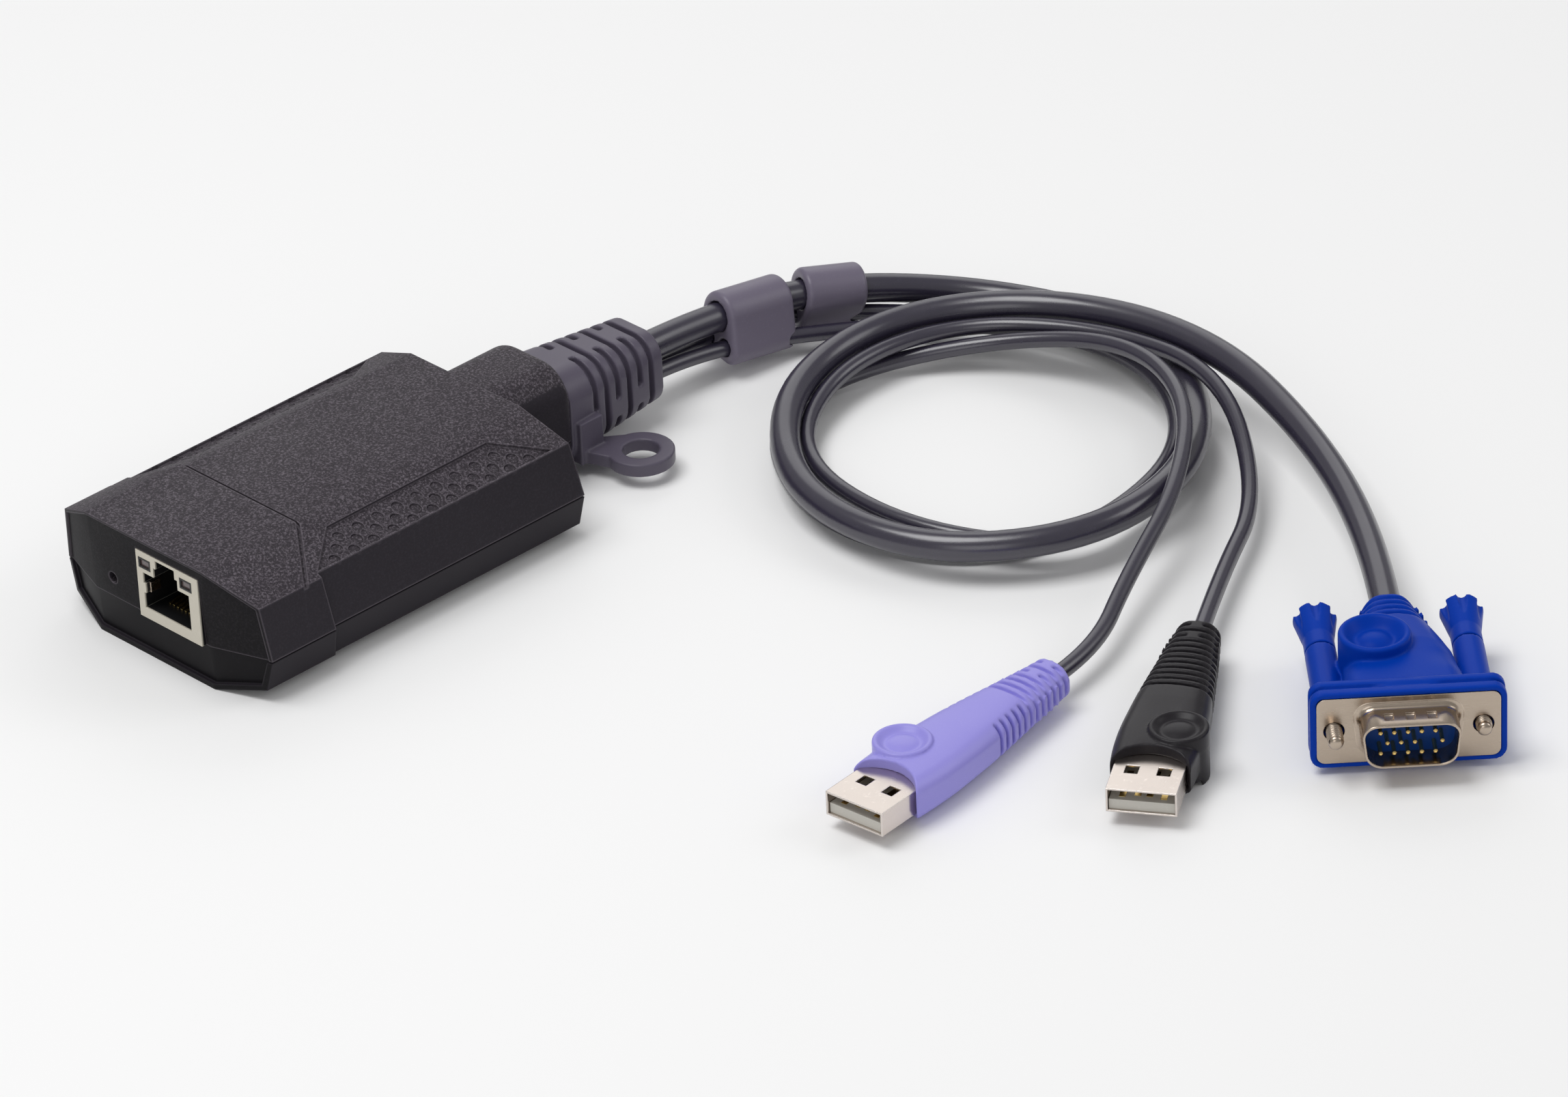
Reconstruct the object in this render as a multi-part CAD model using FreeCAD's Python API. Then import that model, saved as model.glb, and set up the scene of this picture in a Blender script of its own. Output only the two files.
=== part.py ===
"""Network keyboard-video-mouse adapter: a small two-shell housing with a network jack, a
moulded strain relief, one thick video cord and two thin USB cords with their plugs.

Millimetres.  +X runs from the jack face to the strain relief, +Z is up, the origin is at the
bottom centre of the housing with its strain relief.  Each node is written to parts/NODE.step.
"""
import FreeCAD
import Part

import math
import os

from FreeCAD import Placement, Rotation, Vector

# ---------------------------------------------------------------- driving dimensions
FLOOR = 0.0
HOUSING_LENGTH = 79.0           # jack face to the rear wall, without the neck
NECK_LENGTH = 12.5              # neck behind the rear wall
BOOT_LENGTH = 24.5              # strain relief behind the neck
CORD_EXIT_X = 58.0              # the cords leave the strain relief here
NECK_END = HOUSING_LENGTH + NECK_LENGTH
OVERALL_LENGTH = NECK_END + BOOT_LENGTH
FRONT_X = CORD_EXIT_X - OVERALL_LENGTH
HOUSING_HEIGHT = 24.2
SEAM_Z = 8.6                    # where the top cover meets the bottom cover
TOP_HALF = 15.0                 # half width of the flat on top
SHOULDER_HALF = 25.4            # half width at the shoulder's lower edge
SHOULDER_Z = HOUSING_HEIGHT - 5.1
SEAM_HALF = 26.7                # widest, at the seam
FOOT_HALF = 25.0                # half width where the side turns under
FOOT_Z = 2.4
SOLE_HALF = 14.7                # half width of the flat underneath
NOSE_LEAN = 1.3                 # the jack face leans back by this at the bottom
NOSE_SWEEP = 4.0                # the side facets of the nose go back by this
BLOCK_LENGTH = 22.0             # raised front block, along the top
BLOCK_SIDE_LENGTH = 15.0        # the same, at the shoulder's lower edge
BLOCK_GROOVE = 0.8              # shadow groove behind the front block, along
BLOCK_GROOVE_DEPTH = 0.6
SIDE_STEP_TOP = 18.2            # where the wide side ends, at the shoulder
SIDE_STEP_FOOT = 20.2           # and at the foot
WAIST = 1.1                     # the sides behind the front block stand in by this
MID_DROP = 0.4                  # the top behind the front block is lower by this
MID_FOLD_HALF = 14.2
REAR_LEAN = 3.8                 # the rear wall leans forward by this at the top
WALL = 1.9
SEAM_GROOVE = 0.35              # shadow line between the covers, high
SEAM_GROOVE_DEPTH = 0.5
RIM = 0.8                       # the covers' edge stands proud of the jack face
RIM_WALL = 1.0

PANEL_DEPTH = 0.6
PANEL_FRONT_LOW = (18.6, 24.0)  # distance from the jack face, half width
PANEL_FRONT_HIGH = (26.6, 17.6)
PANEL_REAR_HIGH = (HOUSING_LENGTH - 14.7, 17.3)
PANEL_REAR_LOW = (HOUSING_LENGTH - 5.6, 24.0)
DIMPLE_RADIUS = 1.08
DIMPLE_PITCH = 4.56
DIMPLE_LIP = 0.06               # depth of a dimple at its lower lip
DIMPLE_ROWS = ((19.7, 27.3), (21.5, 25.3), (23.1, 23.3))    # half width, start

NECK_HALF = 10.3
NECK_BOTTOM = 1.4
NECK_TOP = HOUSING_HEIGHT - 1.2
NECK_CORNER = 7.0
NECK_START = HOUSING_LENGTH - 7.0

BOOT_Z = 10.8                   # axis height of the strain relief
BOOT_HALF_START = 9.2
BOOT_HALF_END = 7.1
BOOT_CORNER_RATIO = 0.62
BOOT_GROOVE = 1.25
BOOT_GROOVE_DEPTH = 1.4
BOOT_GROOVE_PITCH = 2.95
BOOT_GROOVE_FIRST = NECK_END + 6.1
BOOT_GROOVES = 6
BOOT_WEB = 4.6                  # web left between the two halves of a broken groove
BOOT_FLANGE_RADIUS = 7.4
BOOT_FLANGE = 2.4
BOOT_STUB_RADIUS = 5.6
BOOT_STUB_START = NECK_END - 5.5

RING_CENTRE = (NECK_END + 9.5, -16.6)
RING_HOLE_RADIUS = 3.3
RING_RADIUS = 6.1
RING_THICKNESS = 2.5
RING_TOP = 5.0
STRAP_START = NECK_END + 1.1
STRAP_WIDTH = 5.6
STRAP_THICKNESS = 2.0

JACK_Y = -5.6
JACK_WIDTH = 16.0
JACK_HEIGHT = 13.2
JACK_ROOF = 2.5                 # jack to the top of the housing
JACK_Z = HOUSING_HEIGHT - JACK_ROOF - JACK_HEIGHT / 2
JACK_LENGTH = 16.4
JACK_FACE = 0.35                # behind the top front edge of the housing
PORT_WIDTH = 12.0
PORT_BOTTOM = JACK_Z - 4.55
PORT_TOP = JACK_Z + 2.5
PORT_DEPTH = 13.0
LATCH_WIDTH = 6.3               # lower part of the latch channel
LATCH_STEP = JACK_Z + 4.4
LATCH_TOP_WIDTH = 5.0
LATCH_TOP = JACK_Z + 6.1
LATCH_DEPTH = 11.5
PORT_Y = JACK_Y + 0.5           # port, channel and windows sit off the bezel's centre
FINGER_PROUD = 0.5              # folded finger against the port's far wall
FINGER_LENGTH = 3.2
FINGER_LOW = JACK_Z - 1.5
FINGER_HIGH = JACK_Z + 0.4
LED_WIDTH = 2.5
LED_HEIGHT = 1.5
LED_OFFSET = 5.35
LED_Z = JACK_Z + 4.35
LED_LENGTH = 8.0
LED_INSET = 0.25
SHIELD_WALL = 0.25
SHIELD_START = 1.9
CONTACTS = 8
CONTACT_PITCH = 1.02
CONTACT_WIDTH = 0.45
CONTACT_THICKNESS = 0.3
CONTACT_RISE = 1.5
CONTACT_START = 4.0
CONTACT_END = 11.5

RESET_Y = 10.0
RESET_Z = JACK_Z - 2.5
RESET_HOLE_RADIUS = 1.1
RESET_TRAVEL = 0.25
PLUNGER_RADIUS = 1.7
PLUNGER_LENGTH = 2.6
PLUNGER_REACH = 1.3             # stands proud of the switch
SWITCH_FRONT = 4.6
SWITCH_LENGTH = 3.6
SWITCH_SIZE = 6.2
RUNNING_GAP = 0.08

BOARD_THICKNESS = 1.6
BOARD_HALF = 15.6
BOARD_FRONT = WALL + 1.1
BOARD_REAR = HOUSING_LENGTH - 7.0
CHIP_SIZE = 17.0
CHIP_THICKNESS = 1.6
CHIP_X = BOARD_REAR - 28.0
MEMORY_SIZE = (8.0, 13.0, 1.1)
MEMORY_X = BOARD_REAR - 10.0
CRYSTAL_SIZE = (11.0, 4.6, 3.4)
CRYSTAL_X = CHIP_X - 16.0
CRYSTAL_Y = 7.0

SCREW_X = (9.5, HOUSING_LENGTH - 13.0)
SCREW_Y = 19.3
SCREW_HEAD_RADIUS = 2.3
SCREW_HEAD = 1.6
SCREW_RADIUS = 1.25
SCREW_LENGTH = 11.0
SCREW_BITE = 0.08               # the thread bites into its pilot hole by this
PILLAR_RADIUS = 2.9
HEAD_CLEARANCE = 0.3
HEAD_FLOOR = 3.4                # underside of the screw head's seat, above the floor
FOOT_POST_RADIUS = 1.8

THICK_DIAMETER = 5.4
THIN_DIAMETER = 3.0
CLIP_CLEARANCE = 0.2
CLIP_THICK_WALL = 1.9           # wall round the thick cord
CLIP_THIN_WALL = 1.3            # wall round a thin cord
CLIP_NEAR_LENGTH = 14.4
CLIP_FAR_LENGTH = 12.0
CLIP_EDGE = 1.0
CLIP_NEAR_X = 84.7
CLIP_FAR_X = 101.5

# control points of the three cords, from the strain relief to the plug
THICK_ROUTE = [
    (58, 0, 12), (71, 0, 12), (101.5, -3.5, 9), (129.5, -22.5, 2.7), (134.5, -59.5, 5.2),
    (108, -94.5, 7.5), (73.5, -103, 8.1), (48.5, -82, 6.5), (48, -49.5, 6.2), (71, -23.5, 7.3),
    (101.5, -19.5, 8.3), (124.5, -40, 9.9), (129.5, -75, 12.4), (118.5, -110.5, 9.5),
    (100, -140.5, 8.5), (85, -157, 8.5),
]
PURPLE_ROUTE = [
    (58, -1.7, 7.3), (69, -1.7, 7.3), (92.5, -6, 3.6), (119, -28.5, 3.5), (127.5, -60.5, 4.4),
    (112.5, -85, 2.5), (83.5, -92.5, 1.7), (57, -84.5, 1.7), (48.5, -54, 1.9),
    (65.5, -24.5, 1.9), (89.5, -20, 1.8), (111.5, -36.5, 5.6), (121, -61.5, 11.1),
    (111.5, -86, 12.9), (88.5, -105, 11.6), (64.5, -115, 7.4), (48, -123.8, 4.9),
    (36, -125, 4.9),
]
BLACK_ROUTE = [
    (58, 1.7, 7.3), (71, 1.7, 7.3), (94, 1.5, 4.6), (119, -20, 2), (131.5, -48.5, 2),
    (120.5, -82.5, 1.5), (95, -96, 3.3), (68, -97.5, 4.9), (54, -70.5, 5.1), (61, -36.5, 3.2),
    (84, -24, 6.7), (109.5, -29, 7.2), (123.5, -53.5, 9.2), (123, -83.5, 11.8),
    (103, -110.5, 5), (79, -123.5, 4.9), (62, -134.5, 4.9),
]
ARC_SHARE = 0.45                # share of the shorter run that a bend takes

# USB plugs: along the plug, y = 0 at the metal shell's mouth and y = USB_LENGTH at the cord
USB_LENGTH = 53.0
USB_SHELL_WIDTH = 12.0
USB_SHELL_HEIGHT = 4.5
USB_SHELL_WALL = 0.32
USB_SHELL_LENGTH = 18.5
USB_WINDOW = (2.3, 2.5)         # across, along
USB_WINDOW_OFFSET = 2.75
USB_WINDOW_START = 5.2
USB_TONGUE_HEIGHT = 1.85
USB_TONGUE_GAP = 0.12
USB_TONGUE_MOUTH = 0.5
USB_PINS = ((-3.5, 1.0), (-1.0, 1.6), (1.0, 1.6), (3.5, 1.0))  # across, distance from the mouth
USB_PIN_WIDTH = 1.1
USB_PIN_THICKNESS = 0.2
USB_PIN_LENGTH = 8.0
GRIP_THICKNESS = 8.6
GRIP_END_THICKNESS = 7.0
GRIP_FRONT_HALF = 6.8
GRIP_BULGE_HALF = 7.35           # fullest, between the mouth and the waist
GRIP_WAIST_HALF = 6.8
GRIP_END_HALF = 3.9
GRIP_FRONT = 8.0
GRIP_SCALLOP = 3.4
GRIP_WAIST_AT = 27.0
GRIP_EDGE = 2.3
BOSS_OFFSET = 3.3
BOSS_AT = 17.0
BOSS_RADIUS = 5.1
BOSS_HEIGHT = 9.8
BOSS_RING = 1.1
BOSS_MOAT = 1.0
BOSS_MOAT_DEPTH = 0.8
GRIP_RIB_PITCH = 1.85
GRIP_RIB_SLOT = 0.8
GRIP_RIB_DEPTH = 0.9
GRIP_RIB_FIRST = 31.0
GRIP_RIBS = 12
GRIP_BRIDGE_HALF = 1.1          # web across every other slot near the cord
GRIP_BRIDGED = 4
GRIP_SIDE_SLOTS = 5             # of these, short ones on the sides only
GRIP_SIDE_SLOT_DEPTH = 1.7

# VGA plug: y = 0 at the bezel's front face and y = VGA_LENGTH at the cord
VGA_LENGTH = 37.0
VGA_Z = 8.5
VGA_WIDTH = 33.0
VGA_HEIGHT = 14.5
VGA_CORNER = 2.4
VGA_BEZEL = 2.0
VGA_GROOVE = 0.9
VGA_GROOVE_DEPTH = 0.8
VGA_FLANGE = 1.7
PLATE_WIDTH = 30.8
PLATE_HEIGHT = 12.5
PLATE_THICKNESS = 0.8
D_TOP_HALF = 8.3
D_BOTTOM_HALF = 6.9
D_HEIGHT = 8.3
D_CORNER = 2.2
D_REACH = 5.9
D_WALL = 0.4
D_FLOOR = 1.0                   # blue insulator stands this far out of the plate
D_DENTS = (-3.6, 0.0, 3.6)
D_DENT = (1.5, 1.9, 0.2)        # across, along, deep
VGA_PIN_RADIUS = 0.38
VGA_PIN_REACH = 4.8
VGA_PIN_PITCH = 2.29
VGA_PIN_ROW = 1.98
SCREW_SPACING = 25.0
ROD_RADIUS = 1.42
ROD_GAP = 0.3
ROD_REACH = {-1: 4.3, 1: 2.4}    # the two screws stand at their own depth
ROD_INSIDE = 8.0
BARREL_RADIUS = 2.75
BARREL_END = 24.6
KNOB_GAP = 0.3
KNOB_LENGTH = 11.0
KNOB_NECK_RADIUS = 2.7
KNOB_TIP_RADIUS = 3.8
KNOB_LOBES = 6
KNOB_FLUTE_RADIUS = 0.9
HOOD_HALF = 10.6                # at the flange
HOOD_THICKNESS = 13.0
HOOD_SHOULDER_AT = 19.0
HOOD_SHOULDER_HALF = 9.3
HOOD_SHOULDER_THICKNESS = 12.6
HOOD_END_HALF = 4.3
HOOD_END_THICKNESS = 7.8
HOOD_RIBS = 4
HOOD_RIB_PITCH = 2.1
HOOD_RIB_SLOT = 0.9
HOOD_RIB_DEPTH = 0.8
VGA_BOSS_OFFSET = -4.0
VGA_BOSS_AT = 17.6
VGA_BOSS_RADIUS = 6.2
VGA_BOSS_RING = 1.1
VGA_BOSS_MOAT = 1.5
VGA_BOSS_MOAT_DEPTH = 1.2


# ---------------------------------------------------------------- small tools
def block(x0, x1, y0, y1, z0, z1):
    """Box between two corners."""
    return Part.makeBox(x1 - x0, y1 - y0, z1 - z0, Vector(x0, y0, z0))


def cylinder(centre, axis, radius, length):
    """Cylinder from centre along axis."""
    return Part.makeCylinder(radius, length, Vector(*centre), Vector(*axis))


def face_of(points):
    """Planar face through a closed ring of points."""
    ring = [Vector(*p) for p in points]
    return Part.Face(Part.makePolygon(ring + ring[:1]))


def section_prism(points, x0, x1):
    """Extrude a (y, z) outline from x0 to x1."""
    return face_of([(x0, y, z) for y, z in points]).extrude(Vector(x1 - x0, 0, 0))


def profile_prism(points, y0, y1):
    """Extrude an (x, z) outline from y0 to y1."""
    return face_of([(x, y0, z) for x, z in points]).extrude(Vector(0, y1 - y0, 0))


def plan_prism(points, z0, z1):
    """Extrude an (x, y) outline from z0 to z1."""
    return face_of([(x, y, z0) for x, y in points]).extrude(Vector(0, 0, z1 - z0))


def mirrored_ring(half):
    """Close a half outline, given as (y, z), by mirroring it in y."""
    return list(half) + [(-y, z) for y, z in reversed(half)]


def fused(shapes):
    """One clean solid from several that meet."""
    shapes = list(shapes)
    return shapes[0].multiFuse(shapes[1:]).removeSplitter()


def cut_all(shape, tools):
    """Cut many tools from a shape."""
    tools = list(tools)
    return shape.cut(tools) if tools else shape


def along(distance):
    """Row x of a distance behind the jack face."""
    return FRONT_X + distance


def rounded_wire(half_a, half_b, corner, place):
    """Rounded rectangle in the plane given by place(a, b)."""
    a, b, r = half_a, half_b, corner
    k = r * (1 - math.sqrt(0.5))
    corners = [(1, 1), (-1, 1), (-1, -1), (1, -1)]
    edges = []
    starts = []
    for number, (sa, sb) in enumerate(corners):
        on_a = (sa * a, sb * (b - r))
        on_b = (sa * (a - r), sb * b)
        mid = (sa * (a - k), sb * (b - k))
        first, last = (on_a, on_b) if number % 2 == 0 else (on_b, on_a)
        starts.append((first, mid, last))
    for number, (first, mid, last) in enumerate(starts):
        edges.append(Part.Arc(place(*first), place(*mid), place(*last)).toShape())
        following = starts[(number + 1) % 4][0]
        edges.append(Part.LineSegment(place(*last), place(*following)).toShape())
    return Part.Wire(edges)


def rounded_loft(start, end, place):
    """Ruled loft between two rounded rectangles (position, half_a, half_b, corner)."""
    wires = [rounded_wire(a, b, r, lambda u, v, s=s: place(s, u, v)) for s, a, b, r in (start, end)]
    return Part.makeLoft(wires, True, True)


def edges_where(shape, test):
    """Edges whose middle passes a test."""
    return [e for e in shape.Edges if test(e.CenterOfMass, e)]


# ---------------------------------------------------------------- housing
FRONT_SECTION = [
    (SOLE_HALF, FLOOR), (FOOT_HALF, FOOT_Z), (SEAM_HALF, SEAM_Z),
    (SHOULDER_HALF, SHOULDER_Z), (TOP_HALF, HOUSING_HEIGHT),
]
SHOULDER_SLOPE = (HOUSING_HEIGHT - SHOULDER_Z) / (SHOULDER_HALF - TOP_HALF)
MID_TOP = HOUSING_HEIGHT - MID_DROP
MID_EDGE_HALF = SHOULDER_HALF - WAIST
MID_EDGE_Z = HOUSING_HEIGHT - SHOULDER_SLOPE * (MID_EDGE_HALF - TOP_HALF) - 0.15
MID_SLOPE = (MID_TOP - MID_EDGE_Z) / (MID_EDGE_HALF - MID_FOLD_HALF)
FOOT_SLOPE = (FOOT_Z - FLOOR) / (FOOT_HALF - SOLE_HALF)
MID_SECTION = [
    (SOLE_HALF, FLOOR), (FOOT_HALF - WAIST, FOOT_Z - FOOT_SLOPE * WAIST),
    (SEAM_HALF - WAIST, SEAM_Z), (MID_EDGE_HALF, MID_EDGE_Z), (MID_FOLD_HALF, MID_TOP),
]
WIDE_SECTION = [
    (SOLE_HALF, FLOOR), (FOOT_HALF, FOOT_Z), (SEAM_HALF, SEAM_Z),
    (SHOULDER_HALF, MID_TOP - MID_SLOPE * (SHOULDER_HALF - MID_FOLD_HALF)),
    (MID_FOLD_HALF, MID_TOP),
]
CAVITY_SECTION = [
    (SOLE_HALF - 1.0, FLOOR + WALL), (FOOT_HALF - WAIST - WALL, FOOT_Z + WALL),
    (SEAM_HALF - WAIST - WALL, SEAM_Z), (MID_EDGE_HALF - WALL, MID_EDGE_Z - WALL * 0.7),
    (MID_FOLD_HALF - WALL * 0.3, MID_TOP - WALL),
]


def nose_outline(inset, z):
    """Plan outline of the nose at height z, moved back by inset, closed far behind."""
    lean = NOSE_LEAN * (HOUSING_HEIGHT - z) / HOUSING_HEIGHT
    start = along(lean + inset)
    sweep = NOSE_SWEEP * (SEAM_HALF + 1 - TOP_HALF) / (SEAM_HALF - TOP_HALF)
    side = SEAM_HALF + 1
    far = along(HOUSING_LENGTH + 5)
    return [
        (start, -TOP_HALF), (start, TOP_HALF), (start + sweep, side),
        (far, side), (far, -side), (start + sweep, -side),
    ]


def behind_nose(inset):
    """Everything behind the faceted jack face, moved back by inset."""
    z0, z1 = FLOOR - 1, HOUSING_HEIGHT + 1
    wires = []
    for z in (z0, z1):
        ring = [Vector(x, y, z) for x, y in nose_outline(inset, z)]
        wires.append(Part.makePolygon(ring + ring[:1]))
    return Part.makeLoft(wires, True, True)


def housing_envelope():
    """Outer form of both covers together, without the neck."""
    reach = SEAM_HALF + 5
    slope = (BLOCK_LENGTH - BLOCK_SIDE_LENGTH) / (MID_EDGE_HALF - TOP_HALF)
    block_end = BLOCK_LENGTH - slope * (reach - TOP_HALF)
    front_block = section_prism(mirrored_ring(FRONT_SECTION), along(0), along(BLOCK_LENGTH))
    front_block = front_block.common(plan_prism([
        (along(0), -reach), (along(0), reach), (along(block_end), reach),
        (along(BLOCK_LENGTH), TOP_HALF), (along(BLOCK_LENGTH), -TOP_HALF),
        (along(block_end), -reach)], FLOOR, HOUSING_HEIGHT))
    lean = (SIDE_STEP_FOOT - SIDE_STEP_TOP) / (SHOULDER_Z - FOOT_Z)
    wide = section_prism(mirrored_ring(WIDE_SECTION), along(0), along(SIDE_STEP_FOOT + 2))
    wide = wide.common(profile_prism([
        (along(0), FLOOR), (along(SIDE_STEP_FOOT + lean * FOOT_Z), FLOOR),
        (along(SIDE_STEP_TOP - lean * 6), SHOULDER_Z + 6), (along(0), SHOULDER_Z + 6)],
        -reach, reach))
    rear = HOUSING_LENGTH
    middle = section_prism(mirrored_ring(MID_SECTION), along(0), along(rear))
    middle = middle.common(profile_prism([
        (along(0), FLOOR), (along(rear - 0.4), FLOOR), (along(rear), FOOT_Z),
        (along(rear), SEAM_Z), (along(rear - REAR_LEAN * 0.45), SHOULDER_Z),
        (along(rear - REAR_LEAN), HOUSING_HEIGHT), (along(0), HOUSING_HEIGHT)], -reach, reach))
    strip = plan_prism([
        (along(block_end), reach), (along(BLOCK_LENGTH), TOP_HALF),
        (along(BLOCK_LENGTH), -TOP_HALF), (along(block_end), -reach),
        (along(block_end + BLOCK_GROOVE), -reach), (along(BLOCK_LENGTH + BLOCK_GROOVE), -TOP_HALF),
        (along(BLOCK_LENGTH + BLOCK_GROOVE), TOP_HALF), (along(block_end + BLOCK_GROOVE), reach)],
        MID_EDGE_Z - 1.2, HOUSING_HEIGHT + 1)
    sunk = [(half, z - BLOCK_GROOVE_DEPTH) for half, z in MID_SECTION[-2:]]
    below = section_prism(mirrored_ring([(reach, FLOOR), (reach, sunk[0][1] - 8.0)] + [
        (reach, sunk[0][1] - MID_SLOPE * (reach - sunk[0][0]))] + sunk[1:]), along(0), along(rear))
    return fused([front_block, wide, middle]).common(behind_nose(0)).cut(strip.cut(below))


def neck():
    """Rounded collar at the rear that carries the strain relief."""
    centre = (NECK_TOP + NECK_BOTTOM) / 2
    half = (NECK_TOP - NECK_BOTTOM) / 2
    start = (along(NECK_START), NECK_HALF, half, NECK_CORNER)
    end = (along(NECK_END), NECK_HALF, half, NECK_CORNER)
    body = rounded_loft(start, end, lambda s, u, v: Vector(s, u, centre + v))
    rim = edges_where(body, lambda c, e: abs(c.x - along(NECK_END)) < 0.01)
    return body.makeFillet(2.4, rim)


def panel_point(distance, half_width, side, depth):
    """Point on the shoulder, sunk by depth along its normal."""
    tilt = math.atan(MID_SLOPE)
    z = MID_TOP - MID_SLOPE * (half_width - MID_FOLD_HALF)
    return (along(distance), side * (half_width - depth * math.sin(tilt)),
            z - depth * math.cos(tilt))


def shoulder_panel(side):
    """Shallow recess in one shoulder."""
    corners = (PANEL_FRONT_LOW, PANEL_FRONT_HIGH, PANEL_REAR_HIGH, PANEL_REAR_LOW)
    ring = [panel_point(d, w, side, PANEL_DEPTH) for d, w in corners]
    tilt = math.atan(MID_SLOPE)
    outward = Vector(0, side * math.sin(tilt), math.cos(tilt)) * (PANEL_DEPTH + 2)
    return face_of(ring).extrude(outward)


def dimple_count(half_width, start):
    """How many pockets fit in a row before the panel's slanted rear edge."""
    (high_at, high_width), (low_at, low_width) = PANEL_REAR_HIGH, PANEL_REAR_LOW
    edge = high_at + (low_at - high_at) * (half_width - high_width) / (low_width - high_width)
    return 1 + int((edge - DIMPLE_RADIUS - start) / DIMPLE_PITCH)


def dimples(side):
    """Rows of scooped pockets in one shoulder panel, deeper on their upper side."""
    tools = []
    for half_width, start in DIMPLE_ROWS:
        lip = panel_point(0, half_width + DIMPLE_RADIUS, side, PANEL_DEPTH)
        for number in range(dimple_count(half_width, start)):
            x = along(start + number * DIMPLE_PITCH)
            tools.append(cylinder((x, side * half_width, lip[2] - DIMPLE_LIP), (0, 0, 1),
                                  DIMPLE_RADIUS, 4))
    return tools


def screw_places():
    """Plan positions of the four cover screws."""
    return [(along(x), side * SCREW_Y) for x in SCREW_X for side in (-1, 1)]


def jack_space(clearance):
    """Room for the jack through the front wall."""
    half_w = JACK_WIDTH / 2 + clearance
    half_h = JACK_HEIGHT / 2 + clearance
    return block(along(-2), along(JACK_FACE + JACK_LENGTH + 1), JACK_Y - half_w, JACK_Y + half_w,
                 JACK_Z - half_h, JACK_Z + half_h)


def boot_pocket():
    """Hollow in the neck that holds the strain relief's stub and flange."""
    start = along(BOOT_STUB_START)
    stub = cylinder((start, 0, BOOT_Z), (1, 0, 0), BOOT_STUB_RADIUS, along(NECK_END) - start + 1)
    flange = cylinder((start, 0, BOOT_Z), (1, 0, 0), BOOT_FLANGE_RADIUS, BOOT_FLANGE)
    passage = cylinder((along(NECK_START - 4), 0, BOOT_Z), (1, 0, 0), BOOT_STUB_RADIUS,
                       start - along(NECK_START - 4) + 1)
    return [stub, flange, passage]


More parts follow.
